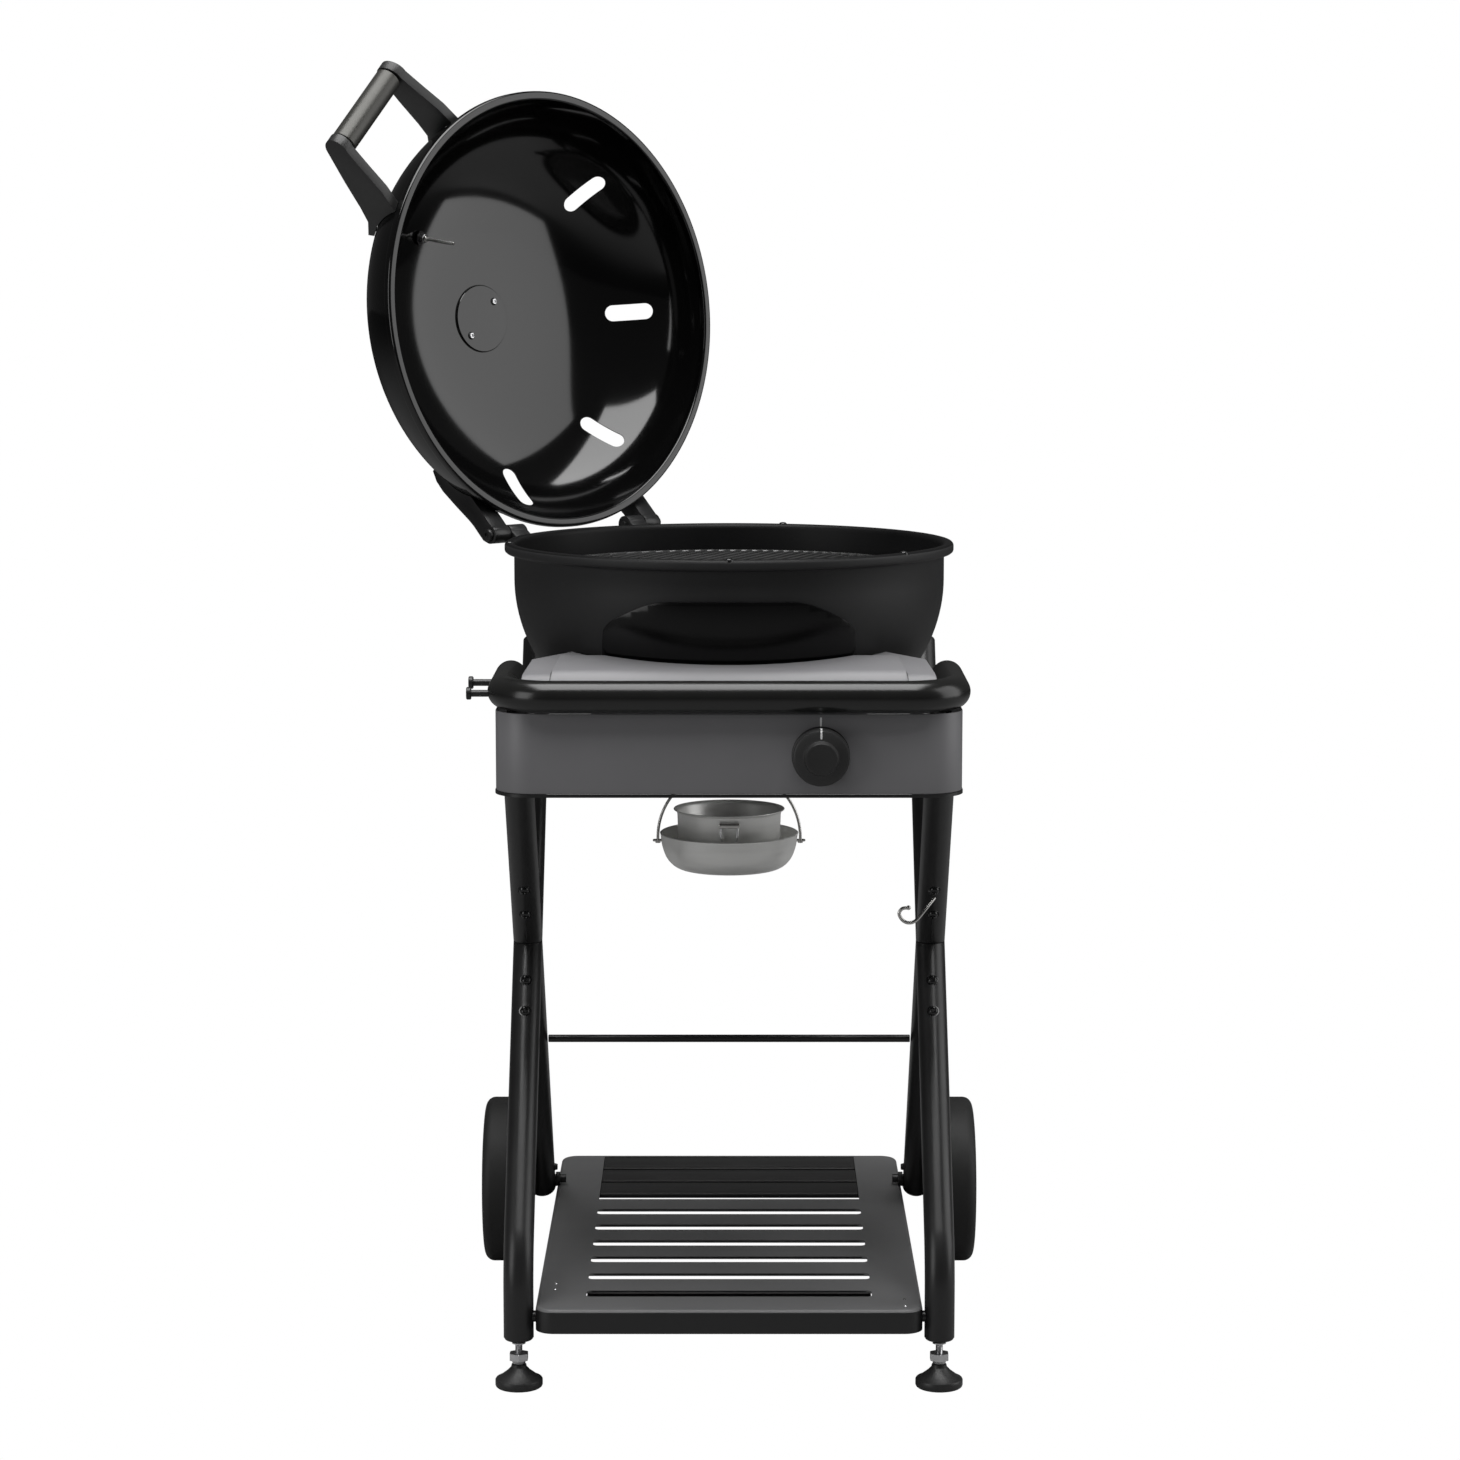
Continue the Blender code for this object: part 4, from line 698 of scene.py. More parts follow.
def console():
    rail = pipe(rail_path(), RAIL_R, sides=64)
    rail = soften(rail, 0.002, 3, 60)
    piece("handle_rail_tube", [(rail, "rail")], "cart", "handle_rail")
    fascia = strip(wrapped(FASCIA_X, FASCIA_Y, 0.04, -0.06), FASCIA_BOTTOM, FASCIA_TOP, 0.002)
    fascia = soften(fascia, 0.0008, 3)
    hole = rod((KNOB_X, FASCIA_Y - 0.01, KNOB_Z), (KNOB_X, FASCIA_Y + 0.02, KNOB_Z), 0.0075, 40)
    parts = [(cut(fascia, hole), "grey")]
    tick = box(
        (KNOB_X - 0.001, FASCIA_Y - 0.0003, KNOB_Z + KNOB_R + 0.0008),
        (KNOB_X + 0.001, FASCIA_Y + 0.0005, FASCIA_TOP - 0.0035),
    )
    parts.append((tick, "white"))
    bezel = turned(mm((28.5, 1.6), (30, 1), (30.2, 0), (28.5, 0)), 96)
    turn = at(KNOB_X, FASCIA_Y, KNOB_Z) @ spun(90, "X")
    parts.append((moved(bezel, turn), "plastic"))
    piece("fascia_sheet", parts, "cart", "fascia")
    trim = strip(
        wrapped(FASCIA_X + 0.0008, FASCIA_Y - 0.0008, 0.04, -0.06), FASCIA_BOTTOM - 0.0035,
        FASCIA_BOTTOM - 0.0003, 0.003,
    )
    piece("base_trim_strip", [(trim, "coat")], "cart", "base_trim")
    console_top()
    control()


def fold(shape):
    """Curves the sheet's front edge down behind the rail."""
    bm = opened(shape)
    start, reach = -0.247, 0.0185
    for number in range(6):
        spot = (0, start - reach * number / 6, 0)
        geom = bm.verts[:] + bm.edges[:] + bm.faces[:]
        bmesh.ops.bisect_plane(bm, geom=geom, dist=1e-6, plane_co=spot, plane_no=(0, 1, 0))
    for vert in bm.verts:
        ahead = max(0.0, start - vert.co.y) / reach
        vert.co.z -= 0.0095 * ahead * ahead
    return closed(bm, shape)


def console_top():
    """The tilted sheet behind the rail, its middle pressed up as far as its front edge."""
    tilt = math.radians(8.0)

    def outline(front, side, shoulder, heel, bite, corner=0.001):
        start = math.degrees(math.acos(heel / bite))
        right = [(side, front + corner), (shoulder, -0.19)] + arc((0, 0), bite, -start, -90, 48)
        left = [(-x, y) for x, y in reversed(right[:-1])]
        return [(-side + corner, front), (side - corner, front)] + right + left

    place = at(0, 0.265 * math.cos(tilt) - 0.265, 0.7605 + 0.265 * math.sin(tilt))
    place = place @ Matrix.Rotation(tilt, 4, "X")
    full = outline(-0.2655, 0.215, 0.207, 0.166, 0.229, 0.006)
    lower = soften(plate([full], 0.0022), 0.0009, 2, 30)
    middle = outline(-0.265, 0.1846, 0.177, 0.131, 0.2305)
    upper = soften(plate([middle], 0.006), 0.002, 3, 30)
    upper = moved(upper, at(0, 0, 0.0024))
    # A thin black strip just outside the raised middle draws a dark line round its foot: painted shade in the
    # step.
    around = outline(-0.2652, 0.1862, 0.1786, 0.1326, 0.23)
    step_shade_strip = moved(plate([around], 0.0016), at(0, 0, 0.0008))
    parts = [(fold(lower), "grey"), (fold(upper), "grey"), (fold(step_shade_strip), "coat")]
    piece("console_top_sheet", [(moved(s, place), m) for s, m in parts], "cart", "console_top")


def control():
    turn = at(KNOB_X, FASCIA_Y, KNOB_Z) @ spun(90, "X")
    place = CART @ turn
    stem = rod((0, 0, -0.02), (0, 0, 0.016), 0.004, 32)
    stem = cut(stem, box((-0.01, 0.0028, 0.002), (0.01, 0.01, 0.02)))
    piece("valve_stem_rod", [(stem, "steel")], "stem", "valve_stem", place)
    knob = [
        *mm(
            (0, 32.6), (12.5, 32.6), (14.8, 33), (16.2, 32.6), (17, 31.2), (17.4, 25.5), (18.2, 23.8),
            (20.5, 23), (26.2, 22.6), (28.4, 21.6), (29.3, 19.6),
        ),
        (KNOB_R, 0.017), (KNOB_R, 0.0075),
        *mm((28.8, 5.6), (27.5, 5), (6.5, 5), (6.5, 6), (4.2, 6), (4.2, 16.5), (0, 16.5)),
    ]
    body = turned(knob, 128)
    mark = box((-0.001, 0.0172, 0.0215), (0.001, 0.0278, 0.0232))
    side = box((-0.001, 0.027, 0.01), (0.001, 0.0297, 0.0222))
    parts = [(body, "plastic"), (soften(mark, 0.0003, 1), "white"), (side, "white")]
    piece("control_knob_body", parts, "knob", "control_knob", place)
    valve = rod((KNOB_X, FASCIA_Y + 0.012, KNOB_Z), (KNOB_X, FASCIA_Y + 0.04, KNOB_Z), 0.013, 48)
    bore = rod((KNOB_X, FASCIA_Y, KNOB_Z), (KNOB_X, FASCIA_Y + 0.027, KNOB_Z), 0.0042, 32)
    valve = soften(cut(valve, bore), 0.001, 2)
    y = FASCIA_Y + 0.03
    nipple = rod((KNOB_X, y, KNOB_Z), (KNOB_X - 0.045, y, KNOB_Z - 0.012), 0.005, 32)
    jet = rod((KNOB_X, FASCIA_Y + 0.036, KNOB_Z), (KNOB_X, FASCIA_Y + 0.052, KNOB_Z), 0.005, 32)
    collar = rod((KNOB_X - 0.012, y, KNOB_Z - 0.0032), (KNOB_X - 0.02, y, KNOB_Z - 0.0053), 0.0078, 6)
    parts = [(valve, "brass"), (nipple, "brass"), (jet, "brass"), (collar, "brass")]
    piece("gas_valve_body", parts, "cart", "gas_valve")


# ---- kettle ----
def bowl_profile(grow, top, count=40):
    points = [(BOWL_R + grow, top)]
    for number in range(count + 1):
        turn = number / count * math.pi / 2
        radius = (BOWL_R + grow) * math.cos(turn)
        points.append((max(radius, 0.0), KNEE_Z - (BOWL_DEPTH + grow) * math.sin(turn)))
    points[-1] = (0.0, KNEE_Z - BOWL_DEPTH - grow)
    return points


def bowl_radius(z):
    drop = min(1.0, max(0.0, (KNEE_Z - z) / BOWL_DEPTH))
    return BOWL_R * math.sqrt(1 - drop * drop)


VENTURI_INLET = (KNOB_X, -0.228, KNOB_Z)
VENTURI_RING = (0.062, -0.078, 0.703)


def bowl_outside(spot, normal):
    away = Vector((spot.x, spot.y, 0)).normalized().dot(normal) - normal.z
    return away > 0.2 and spot.z < RIM_Z - 0.0005


def kettle():
    outer = bowl_profile(0.0, 0.8665)
    inner = bowl_profile(-BOWL_WALL, RIM_Z - 0.006)
    roll = [(BOWL_R - 0.0008, RIM_Z - 0.003), (BOWL_R + 0.0008, RIM_Z - 0.0009), (BOWL_R + 0.003, RIM_Z)]
    edge = 0.0042
    roll += [(r, z) for r, z in arc((RIM_R - edge, RIM_Z - edge), edge, 90, 0, 8)]
    roll += [(RIM_R, RIM_Z - 0.0085), (RIM_R - 0.0006, RIM_Z - 0.0102), (RIM_R - 0.0022, RIM_Z - 0.0115)]
    roll += [(BOWL_R + 0.0022, RIM_Z - 0.012), (BOWL_R + 0.0006, RIM_Z - 0.013)]
    bowl = turned(list(reversed(inner)) + roll + outer, 192)
    bottom = KNEE_Z - BOWL_DEPTH
    drain = turned(
        [(0, bottom + 0.02), (0.0185, bottom + 0.02), (0.0185, bottom - 0.02), (0, bottom - 0.02)], 48,
    )
    bowl = cut(bowl, drain)
    bowl = cut(bowl, rod(VENTURI_INLET, VENTURI_RING, 0.0135, 40))
    low, high = split(bowl, bowl_outside)
    collar = [
        (0.018, bottom + 0.004), (0.0205, bottom + 0.004), (0.0205, bottom - 0.007), (0.02, bottom - 0.008),
        (0.018, bottom - 0.008),
    ]
    hanger = soften(box((-0.0015, -0.019, bottom - 0.022), (0.0015, 0.019, bottom + 0.0005)), 0.0005, 1)
    hanger = cut(hanger, rod((-0.02, 0, BAIL_TOP_Z), (0.02, 0, BAIL_TOP_Z), 0.0032, 24))
    # The inner faces take the darker copy of the enamel: painted shade inside the bowl.
    parts = [(low, "kettle"), (high, "inside"), (turned(collar, 64), "kettle"), (hanger, "kettle")]
    for turn in (75, -90, -40, 187):
        t = math.radians(turn)
        stud = turned(mm((0, 1.8), (2.2, 1.7), (3.8, 1), (4.6, -0.2), (4.6, -4), (0, -4)), 24)
        spot = ((RIM_R - 0.005) * math.cos(t), (RIM_R - 0.005) * math.sin(t), RIM_Z)
        parts.append((moved(stud, Matrix.Translation(spot)), "gloss"))
    for number in range(3):
        t = math.radians(30 + 120 * number)
        for end_r, z in ((0.213, GRID_Z - 0.007), (0.189, 0.792)):
            start_r = bowl_radius(z - 0.004) - 0.0012
            start = (start_r * math.cos(t), start_r * math.sin(t), z)
            end = (end_r * math.cos(t), end_r * math.sin(t), z)
            parts.append((rod(start, end, 0.004, 24), "gloss"))
    piece("kettle_shell", parts, "cart", "kettle_bowl", angle=50)
    supports()


def shell_piece(outline, grow_out, grow_in, y_low, y_high):
    prism = plate([outline], abs(y_high - y_low))
    prism = moved(prism, at(0, (y_low + y_high) / 2, 0) @ spun(90, "X"))
    top = 0.875
    prism = cut(prism, turned([(0.0, top)] + bowl_profile(grow_out, top), 160), "INTERSECT")
    return cut(prism, turned([(0.0, top + 0.01)] + bowl_profile(grow_in, top + 0.01), 160))


def supports():
    crown = mm(
        (0, 837), (70.5, 836), (88, 831.8), (105, 824), (123, 814.5), (132.5, 804), (133.2, 792.5),
        (134.5, 756),
    )
    heel = [(0.113, 0.756), (0.108, 0.774), (0.098, 0.76), (0.086, 0.759), (0.08, 0.769), (0.0, 0.769)]
    right = crown + heel
    left = [(-x, z) for x, z in reversed(right[1:-1])]
    shield = shell_piece(rounded(right + left, 0.006, 4), 0.006, 0.0006, -0.26, -0.12)
    shield = soften(shield, 0.0012, 2, 45)
    piece("kettle_shield", [(shield, "shield")], "cart", "kettle_front_bracket", angle=50)
    y, z = 0.2165, 0.722
    bar = soften(rod((-0.2066, y, z), (0.2066, y, z), 0.009, 48), 0.001, 2)
    piece("rear_support_rod", [(bar, "coat")], "cart", "rear_support_bar")
    outline = [(-0.06, 0.7), (0.06, 0.7), (0.06, 0.775), (0.045, 0.79), (-0.045, 0.79), (-0.06, 0.775)]
    saddle = shell_piece(rounded(outline, 0.006, 4), 0.0035, 0.0006, 0.1, 0.26)
    parts = [(soften(saddle, 0.0008, 2, 45), "coat")]
    for x in (-0.045, 0.045):
        profile = rounded(mm((201, 708), (230, 708), (230, 738), (208, 738)), 0.006, 5)
        ear = moved(plate([profile], 0.006), Matrix(((0, 0, 1, x), (1, 0, 0, 0), (0, 1, 0, 0), (0, 0, 0, 1))))
        parts.append((soften(ear, 0.0006, 1), "coat"))
    piece("rear_saddle", parts, "cart", "kettle_rear_bracket", angle=50)


def burner():
    ring_z = VENTURI_RING[2]
    ring = pipe([(x, y, ring_z) for x, y in arc((0, 0), 0.1, 0, 360, 96)[:-1]], 0.009, 28, closed=True)
    start = Vector(VENTURI_INLET)
    inward = (Vector(VENTURI_RING) - start).normalized()
    parts = [(ring, "iron")]
    for number in range(36):
        t = math.tau * number / 36
        spot = Vector((0.1075 * math.cos(t), 0.1075 * math.sin(t), ring_z + 0.0042))
        parts.append((rod(spot, spot * 1.004 + Vector((0, 0, 0.0006)), 0.0012, 12), "gloss"))
    mixer = rod(VENTURI_INLET, VENTURI_RING, 0.0105, 40)
    mouth = rod(start - inward * 0.002, start + inward * 0.02, 0.0125, 40)
    bore = start - inward * 0.01, start + inward * 0.12
    parts.append((cut(mixer, rod(*bore, 0.008, 32)), "iron"))
    parts.append((soften(cut(mouth, rod(*bore, 0.008, 32)), 0.0012, 3), "iron"))
    piece("burner_casting", parts, "cart", "burner_ring")
    lead = [
        (0.0235 - (z - 0.76) ** 2 * 8, -(bowl_radius(z) + 0.0026), z)
        for z in (0.742, 0.746, 0.75, 0.754, 0.758, 0.762, 0.7665)
    ]
    piece("ignition_lead_wire", [(pipe(lead, 0.0015, 16), "rubber")], "cart", "ignition_lead")
    cone = mm(
        (191.5, 801), (195, 801.4), (195.8, 800.5), (195.5, 798.5), (185, 795.2), (35, 745.2), (34, 744.2),
        (33, 745), (33.3, 746.8), (184, 797),
    )
    piece("heat_cone_sheet", [(turned(cone, 128), "gloss")], "cone", "heat_cone")
    cooking_grid()


def cooking_grid():
    """A round grate of wires: an outer ring, close parallel bars and two cross bars beneath."""
    outer_r, wire, pitch = 0.2218, 0.0022, 0.0121
    turn = at(0, 0, GRID_Z) @ Matrix.Rotation(math.radians(67.5), 4, "Z")
    ring = pipe([(x, y, -0.0004) for x, y in arc((0, 0), outer_r, 0, 360, 128)[:-1]], 0.0024, 16, closed=True)
    parts = [(ring, "grate")]
    for number in range(-18, 19):
        y = number * pitch
        reach = math.sqrt(outer_r**2 - y * y) - 0.0005
        parts.append((rod((-reach, y, 0.0004), (reach, y, 0.0004), wire - 0.0002, 12), "grate"))
    for x in (-0.075, 0.075):
        reach = math.sqrt(outer_r**2 - x * x) - 0.0005
        parts.append((rod((x, -reach, -0.0014), (x, reach, -0.0014), 0.0018, 12), "grate"))
    piece("cooking_grate", parts, "grid", "cooking_grid", CART @ turn)


def grease_set():
    height = BAIL_TOP_Z - EAR_Z
    arch = []
    for number in range(49):
        turn = math.pi * number / 48
        arch.append((-EAR_X * math.cos(turn), 0.0, -height + height * math.sin(turn)))
    arch = [(-EAR_X, 0, -height - 0.007)] + arch + [(EAR_X, 0, -height - 0.007)]
    place = CART @ at(0, 0, BAIL_TOP_Z)
    parts = [(pipe(arch, 0.0016, 20), "steel")]
    for side in (-1, 1):
        knob = rod((side * EAR_X, 0, -height - 0.0068), (side * EAR_X, 0, -height - 0.005), 0.0028, 20)
        parts.append((knob, "steel"))
    piece("bail_wire", parts, "bail", "grease_bail", place)
    place = CART @ at(0, 0, EAR_Z)
    base = 0.5165 - EAR_Z
    inside = smooth(
        [
            (0.0, base + 0.0015, 0), (0.045, base + 0.0015, 0), (0.058, base + 0.004, 0),
            (0.0672, -0.022, 0), (0.0722, -0.01, 0), (0.0738, 0.0035, 0),
        ],
        6,
    )
    outside = smooth(
        [
            (0.0768, 0.0048, 0), (0.0762, 0.003, 0), (0.074, -0.0105, 0), (0.0688, -0.0235, 0),
            (0.059, base + 0.0024, 0), (0.045, base, 0), (0.0, base, 0),
        ],
        6,
    )
    dish = [(r, z) for r, z, _ in inside] + mm((74.5, 5.2), (75.8, 5.6))
    dish += [(r, z) for r, z, _ in outside]
    # The dish's pale steel carries painted reflection of the bright surroundings in its colour.
    parts = [(turned(dish, 128), "reflection_painted_steel")]
    for side in (-1, 1):
        tab = rounded(
            [(side * 0.073, -0.005), (side * 0.0846, -0.005), (side * 0.0846, 0.005), (side * 0.073, 0.005)],
            0.004, 6,
        )
        tab = plate([tab[:: side]], 0.0016)
        tab = cut(tab, rod((side * EAR_X, 0, -0.01), (side * EAR_X, 0, 0.01), 0.002, 24))
        parts.append((moved(tab, at(0, 0, -0.004)), "steel"))
    piece("grease_dish", parts, "tray", "grease_tray", place)
    seat = base + 0.0018
    top = 0.5845 - EAR_Z
    cup = [
        (0, seat + 0.001), (0.0495, seat + 0.001), (0.053, seat + 0.0032), (0.0548, seat + 0.008),
        (0.0566, top - 0.005), (0.0582, top - 0.0022), (0.0604, top - 0.0008), (0.0612, top - 0.0008),
        (0.0616, top - 0.0014), (0.0612, top - 0.002), (0.0598, top - 0.0026), (0.0582, top - 0.004),
        (0.0574, top - 0.007), (0.0556, seat + 0.008), (0.0538, seat + 0.0024), (0.0505, seat), (0, seat),
    ]
    parts = [(turned(cup, 128), "reflection_painted_steel")]
    y = -0.0585
    clip = box((-0.0115, y - 0.003, top - 0.014), (0.0115, y + 0.003, top - 0.0085))
    parts.append((soften(clip, 0.0012, 3), "steel"))
    for side in (-1, 1):
        x = side * 0.0092
        leg = [
            (x, y, top - 0.01), (x, y - 0.0022, top - 0.019), (x - side * 0.0004, y - 0.0026, top - 0.025),
            (x - side * 0.0016, y - 0.001, top - 0.0285),
        ]
        parts.append((pipe(smooth(leg, 5), 0.0012, 14), "zinc"))
    piece("grease_beaker", parts, "cup", "grease_cup", place)


# ---- lid ----
def lid_height(radius, grow=0.0):
    share = min(1.0, radius / (LID_SHELL_R + grow))
    return (LID_DEPTH + grow) * math.sqrt(max(0.0, 1 - share**3.2))


def lid_profile(grow, steps=48):
    points = []
    for number in range(steps + 1):
        radius = (LID_SHELL_R + grow) * math.sin(number / steps * math.pi / 2) ** 0.85
        points.append((radius, lid_height(radius, grow)))
    return points


THERMOMETER_R = 0.133
GAUGE_SPOT = Vector((0, -THERMOMETER_R, lid_height(THERMOMETER_R) - 0.001))
GAUGE_NORMAL = Vector((0, -0.33, 0.944)).normalized()
GAUGE = LID @ Matrix.Translation(GAUGE_SPOT) @ facing(GAUGE_NORMAL)


def clear_of_lid(arm, gap):
    """Cuts away what would lie in the lid's shell or its rolled rim."""
    seat = [(0, LID_DEPTH + 0.0006)] + lid_profile(0.0006)[1:] + [(LID_SHELL_R + 0.0006, -0.02), (0, -0.02)]
    arm = cut(arm, turned(seat, 96))
    rim = [(0, 0.0062), (LID_R + gap, 0.0062), (LID_R + gap, -0.03), (0, -0.03)]
    return cut(arm, turned(rim, 96))


def lid_slot(start, end):
    middle = (start + end) / 2
    along = (end - start).normalized()
    side = Vector((0, 0, 1)).cross(along).normalized()
    out = along.cross(side)
    reach = (end - start).length / 2
    outline = arc((reach, 0), 0.0095, -90, 90, 16) + arc((-reach, 0), 0.0095, 90, 270, 16)
    turn = Matrix((along, side, out)).transposed().to_4x4()
    return moved(plate([outline], 0.03), Matrix.Translation(middle) @ turn)


def lid():
    outer = [p for p in lid_profile(0.0) if p[1] > 0.0062]
    inner = [p for p in lid_profile(-LID_WALL) if p[1] > 0.004]
    roll = [
        (LID_SHELL_R - 0.0002, 0.006), (LID_SHELL_R + 0.0012, 0.0052),
        *arc((LID_R - 0.0028, 0.0024), 0.0028, 80, 0, 6),
        *arc((LID_R - 0.0028, -0.0022), 0.0028, 0, -90, 6), (LID_SHELL_R - 0.003, -0.005),
        *arc((LID_SHELL_R - 0.0034, -0.0024), 0.0026, -90, -180, 5), (LID_SHELL_R - 0.0048, 0.0015),
    ]
    shell = turned(outer + roll + list(reversed(inner)), 192)
    for number in range(4):
        turn = number * math.pi / 4
        ends = []
        for radius in (0.185, 0.215):
            ends.append(Vector((radius * math.cos(turn), radius * math.sin(turn), lid_height(radius))))
        shell = cut(shell, lid_slot(*ends))
    piece("lid_dome", [(shell, "lining")], "lid", "lid_shell", LID, angle=50)
    disc = turned(mm((0, -2), (37.8, -2), (38.5, -2.4), (38.5, -3.6), (38, -4), (0, -4)), 96)
    edge = turned(mm((38.3, -1.6), (39.2, -1.6), (39.4, -2.2), (38.3, -2.2)), 96)
    parts = [(disc, "lining"), (edge, "rubber")]
    for x in (-0.0275, 0.0275):
        screw = mm((0, -4.8), (1.6, -4.8), (1.9, -6.4), (3, -6.2), (4.3, -4.8), (4.6, -3.6), (0, -3.6))
        parts.append((moved(turned(screw, 32), at(x, 0, 0)), "zinc"))
    piece("inner_plate", parts, "lid", "lid_inner_plate", LID @ at(0, 0, LID_DEPTH))
    thermometer()
    handle()
    hinges()


def thermometer():
    face = 0.018
    gauge = [
        (0, face - 0.003), (0.0236, face - 0.003), (0.024, face - 0.0004), (0.0246, face), (0.0264, face),
        (0.0272, face - 0.0006), (0.0275, face - 0.002),
        *mm(
            (27.5, 6.5), (27, 5.2), (25.5, 4), (8, 4), (8, 2), (4.2, 2), (4.2, -11.5), (3.8, -12),
            (1.8, -12), (1.8, -49.6), (1.2, -50), (0, -50),
        ),
    ]
    parts = [(turned(gauge, 64), "steel")]
    parts.append((rod((0, 0, face - 0.0031), (0, 0, face - 0.0028), 0.023, 64), "dial"))
    for number in range(11):
        t = math.radians(225 - 27 * number)
        mark = box((-0.0003, 0.017, 0), (0.0003, 0.0205 if number % 2 else 0.0215, 0.0002))
        turn = at(0, 0, face - 0.0028) @ Matrix.Rotation(t - math.pi / 2, 4, "Z")
        parts.append((moved(mark, turn), "rubber"))
    nut = soften(rod((0, 0, -0.0042), (0, 0, -0.0095), 0.0056, 6), 0.0008, 2)
    parts += [(nut, "zinc"), (rod((0, 0, -0.0026), (0, 0, -0.0042), 0.0078, 40), "coat")]
    parts.append((rod((0, 0, -0.0095), (0, 0, -0.0485), 0.002, 20), "reflection_painted_steel"))
    piece("gauge_case", parts, "lid", "thermometer", GAUGE)
    needle = plate([mm((-0.9, -5), (0.9, -5), (0.3, 18), (-0.3, 18))], 0.0008)
    needle = moved(needle, at(0, 0, face - 0.002))
    parts = [(needle, "rubber"), (rod((0, 0, face - 0.0026), (0, 0, face - 0.001), 0.0028, 32), "rubber")]
    piece("gauge_needle", parts, "needle", "thermometer_needle", GAUGE)


def handle():
    grip_y, grip_z = -0.32, 0.0345
    for name, side in SIDES:
        outline = [
            (-0.228, 0.01), (-0.26, 0.01), (-0.29, 0.0155), *arc((grip_y, grip_z), 0.0155, -75, -255, 24),
            *mm((-282, 56), (-245, 60), (-225, 64), (-208, 78), (-200, 50)),
        ]
        arm = plate([outline], 0.011)
        arm = moved(arm, Matrix(((0, 0, 1, 0), (1, 0, 0, 0), (0, 1, 0, 0), (0, 0, 0, 1))))
        shear = Matrix.Identity(4)
        shear[0][1] = side * 0.1
        shear[0][3] = side * -0.1 * grip_y
        arm = moved(arm, at(side * 0.0588, 0, 0) @ shear)
        arm = clear_of_lid(arm, 0.001)
        arm = soften(arm, 0.0018, 3, 50)
        piece(
            name + "_handle_bracket", [(arm, "plastic")], "lid", name + "_handle_arm", LID,
            angle=45,
        )
    grip = turned(mm((0, 51), (13.2, 51), (14.5, 50), (14.5, -50), (13.2, -51), (0, -51)), 64)
    turn = at(0, grip_y, grip_z) @ spun(90, "Y")
    piece("grip_tube", [(moved(grip, turn), "grip")], "lid", "handle_grip", LID)


def hinges():
    turn = Matrix((OUTWARD, Vector((0, 0, 1)), ALONG)).transposed().to_4x4()
    for name, side in SIDES:
        lug_at, arm_at, width = KNUCKLE_REACH - 0.0125, KNUCKLE_REACH + 0.0125, 0.024
        lug = [
            (HINGE_REACH + 0.0095, HINGE_Z - 0.004), *arc((HINGE_REACH, HINGE_Z), 0.01, -20, 160, 24),
            *mm((217, 866), (200, 862), (198, 828), (217, 840), (240, 862)),
        ]
        bracket = moved(plate([lug], width), turn @ at(0, 0, side * lug_at))
        clear = BOWL_R + 0.0006
        inside = [(0.0, 0.89), (clear, 0.89), (clear, KNEE_Z)] + bowl_profile(0.0006, 0.85)[1:]
        bracket = cut(bracket, turned(inside, 96))
        rim = [
            (0, RIM_Z + 0.0012), (RIM_R + 0.0008, RIM_Z + 0.0012), (RIM_R + 0.0008, RIM_Z - 0.0135),
            (0, RIM_Z - 0.0135),
        ]
        bracket = cut(bracket, turned(rim, 96))
        ends = [PIVOT + ALONG * side * reach for reach in (KNUCKLE_REACH - 0.034, KNUCKLE_REACH + 0.034)]
        bracket = soften(cut(bracket, rod(*ends, 0.0041, 32)), 0.0012, 2, 45)
        piece(
            name + "_hinge_lug", [(bracket, "coat")], "cart", name + "_hinge_bracket",
            angle=45,
        )
        ends = [PIVOT + ALONG * side * reach for reach in (KNUCKLE_REACH - 0.0275, KNUCKLE_REACH + 0.0262)]
        pin = rod(*ends, 0.004, 32)
        head = turned(mm((0, 2.4), (2.6, 2.4), (3, 4), (6.2, 3.6), (7, 2.4), (7, 0), (0, 0)), 40)
        spin = facing(ALONG * side)
        head = moved(head, Matrix.Translation(PIVOT + ALONG * side * (KNUCKLE_REACH + 0.025)) @ spin)
        piece(name + "_hinge_bolt", [(pin, "coat"), (head, "coat")], "cart", name + "_hinge_pin")
        z0 = HINGE_Z - LID_CLOSED_Z
        outline = arc((HINGE_REACH, z0), 0.01, -160, 20, 24)
        outline += smooth(mm((256, 4, 0), (248, 11, 0), (235, 23, 0), (216, 46, 0), (198, 67, 0)), 5)
        outline += [(0.186, 0.077), (0.174, 0.082), (0.165, 0.07), (0.19, 0.035), (0.22, 0.007)]
        outline = [point[:2] for point in outline]
        arm = moved(plate([outline], width - 0.0008), turn @ at(0, 0, side * arm_at))
        arm = clear_of_lid(arm, 0.0008)
        low = OUTWARD * HINGE_REACH + Vector((0, 0, z0))
        bore = [low + ALONG * side * reach for reach in (KNUCKLE_REACH - 0.02, KNUCKLE_REACH + 0.04)]
        arm = soften(cut(arm, rod(*bore, 0.0041, 32)), 0.0014, 2, 45)
        piece(name + "_hinge_strap", [(arm, "coat")], "lid", name + "_hinge_arm", LID, angle=45)


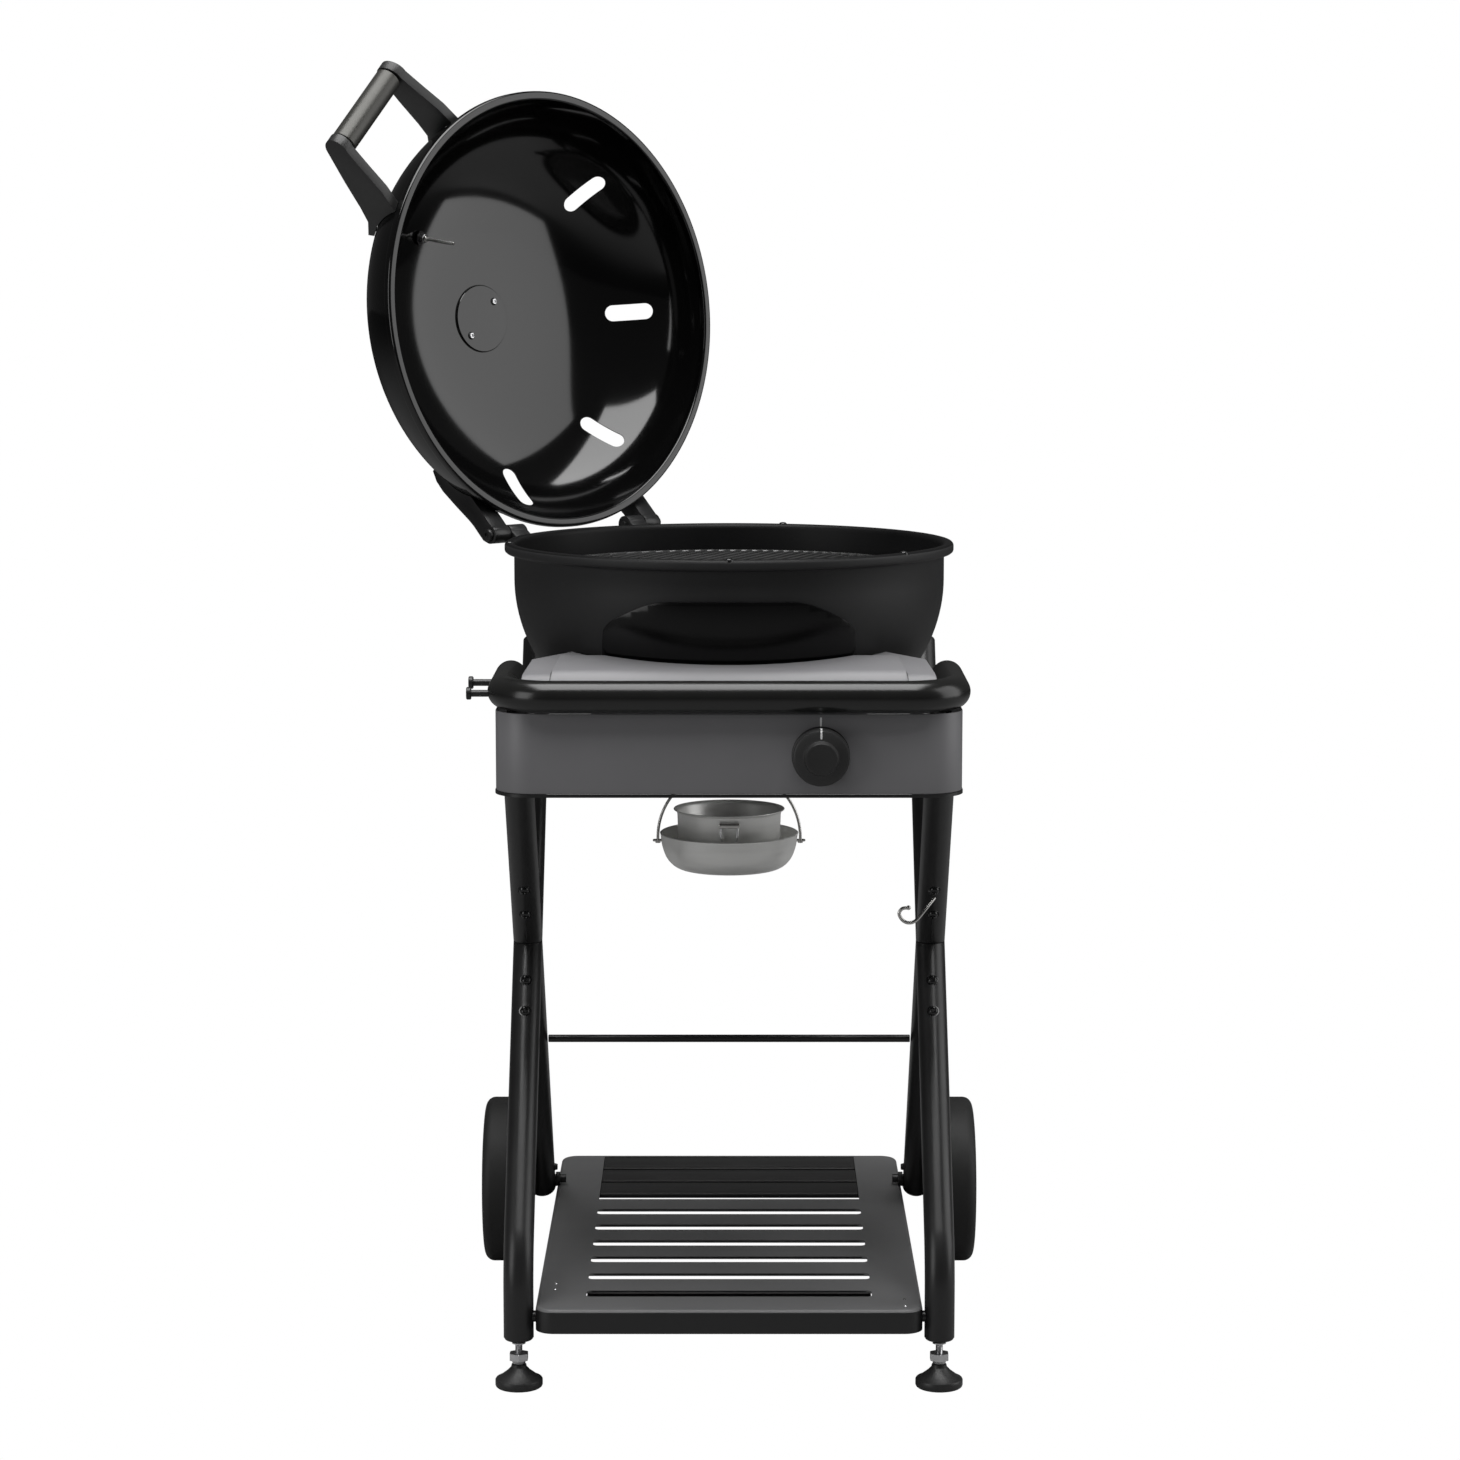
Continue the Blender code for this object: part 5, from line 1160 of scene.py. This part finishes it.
def fittings():
    for name, y, z in (("rear_tool_peg", -0.205, 0.749), ("front_tool_peg", -0.24, 0.742)):
        start = -(RAIL_X + RAIL_R) - 0.0004
        profile = mm(
            (0, 21), (5.8, 21), (6.6, 20.2), (6.6, 16.8), (5.8, 16), (3.6, 15.8), (3.6, -3), (0, -3),
        )
        turn = at(start, y, z) @ spun(-90, "Y")
        piece(name + "_stud", [(moved(turned(profile, 40), turn), "coat")], "cart", name)
    stem_y = leg_y(0.4974, -1) - 0.0216
    points = [
        (0.224, stem_y - 0.0006, 0.4974), (0.2131, stem_y - 0.01, 0.4858), (0.203, stem_y - 0.014, 0.4747),
        (0.1947, stem_y - 0.015, 0.4725), (0.1882, stem_y - 0.015, 0.4758),
        (0.1849, stem_y - 0.015, 0.4825), (0.1881, stem_y - 0.015, 0.488), (0.195, stem_y - 0.015, 0.4891),
    ]
    parts = [(pipe(smooth(points, 8), 0.0019, 16), "steel")]
    tip = Vector(points[-1])
    ball = turned(mm((0, 2.7), (1.9, 1.9), (2.7, 0), (1.9, -1.9), (0, -2.7)), 20)
    parts.append((moved(ball, Matrix.Translation(tip)), "steel"))
    piece("leg_hook_wire", parts, "cart", "leg_hook")


# ---- stage ----
AMBIENT = 0.05
LIGHTS = (
    ("overhead_softbox", (0.0, -0.5, 3.7), (0.0, 0.0, 0.5), (2.8, 2.8), 140.0),
    ("left_softbox", (-3.2, -2.4, 1.5), (0.0, 0.0, 0.6), (1.8, 2.6), 34.0),
    ("right_softbox", (3.3, -0.2, 1.9), (0.0, 0.0, 1.0), (2.4, 3.4), 46.0),
)


def white_to_camera(tree, shader, end):
    """Shows plain white to the camera, and the given shader to everything else."""
    nodes, links = tree.nodes, tree.links
    ray = nodes.new("ShaderNodeLightPath")
    mix = nodes.new("ShaderNodeMixShader")
    white = nodes.new(
        "ShaderNodeEmission" if end.bl_idname == "ShaderNodeOutputMaterial" else "ShaderNodeBackground"
    )
    white.inputs["Color"].default_value = (1, 1, 1, 1)
    white.inputs["Strength"].default_value = 1.0
    links.new(ray.outputs["Is Camera Ray"], mix.inputs["Fac"])
    links.new(shader.outputs[0], mix.inputs[1])
    links.new(white.outputs[0], mix.inputs[2])
    links.new(mix.outputs["Shader"], end.inputs["Surface"])


def stage():
    """A plain white floor and background, lit from above and from both sides."""
    bm = bmesh.new()
    bmesh.ops.create_grid(bm, x_segments=1, y_segments=1, size=30)
    floor = keep(bm, "studio_floor")
    mat = bpy.data.materials.new("studio_floor")
    mat.use_nodes = True
    shader = mat.node_tree.nodes["Principled BSDF"]
    shader.inputs["Base Color"].default_value = (0.32, 0.32, 0.32, 1)
    shader.inputs["Roughness"].default_value = 0.9
    shader.inputs["Specular IOR Level"].default_value = 0.1
    white_to_camera(mat.node_tree, shader, mat.node_tree.nodes["Material Output"])
    floor.data.materials.append(mat)
    floor.location = (0, 0, -0.0002)
    world = bpy.data.worlds.new("studio")
    bpy.context.scene.world = world
    world.use_nodes = True
    back = world.node_tree.nodes["Background"]
    back.inputs["Color"].default_value = (1, 1, 1, 1)
    back.inputs["Strength"].default_value = AMBIENT
    white_to_camera(world.node_tree, back, world.node_tree.nodes["World Output"])
    for name, spot, aim, size, power in LIGHTS:
        data = bpy.data.lights.new(name, "AREA")
        data.shape = "RECTANGLE"
        data.size, data.size_y = size
        data.energy = power
        lamp = linked(name, data)
        lamp.location = spot
        lamp.rotation_euler = (Vector(aim) - Vector(spot)).to_track_quat("-Z", "Y").to_euler()


def camera():
    data = bpy.data.cameras.new("camera")
    data.sensor_width = 36.0
    data.lens = 90.81
    data.clip_end = 100.0
    cam = linked("camera", data)
    cam.location = CART @ Vector((0.001, -4.0358, 1.2196))
    cam.rotation_euler = (math.pi / 2 - 0.135128, 0, 0)
    bpy.context.scene.camera = cam
    bpy.context.scene.view_settings.view_transform = "Standard"


camera()
legs()
wheels()
feet()
shelf()
console()
kettle()
burner()
grease_set()
lid()
fittings()
stage()
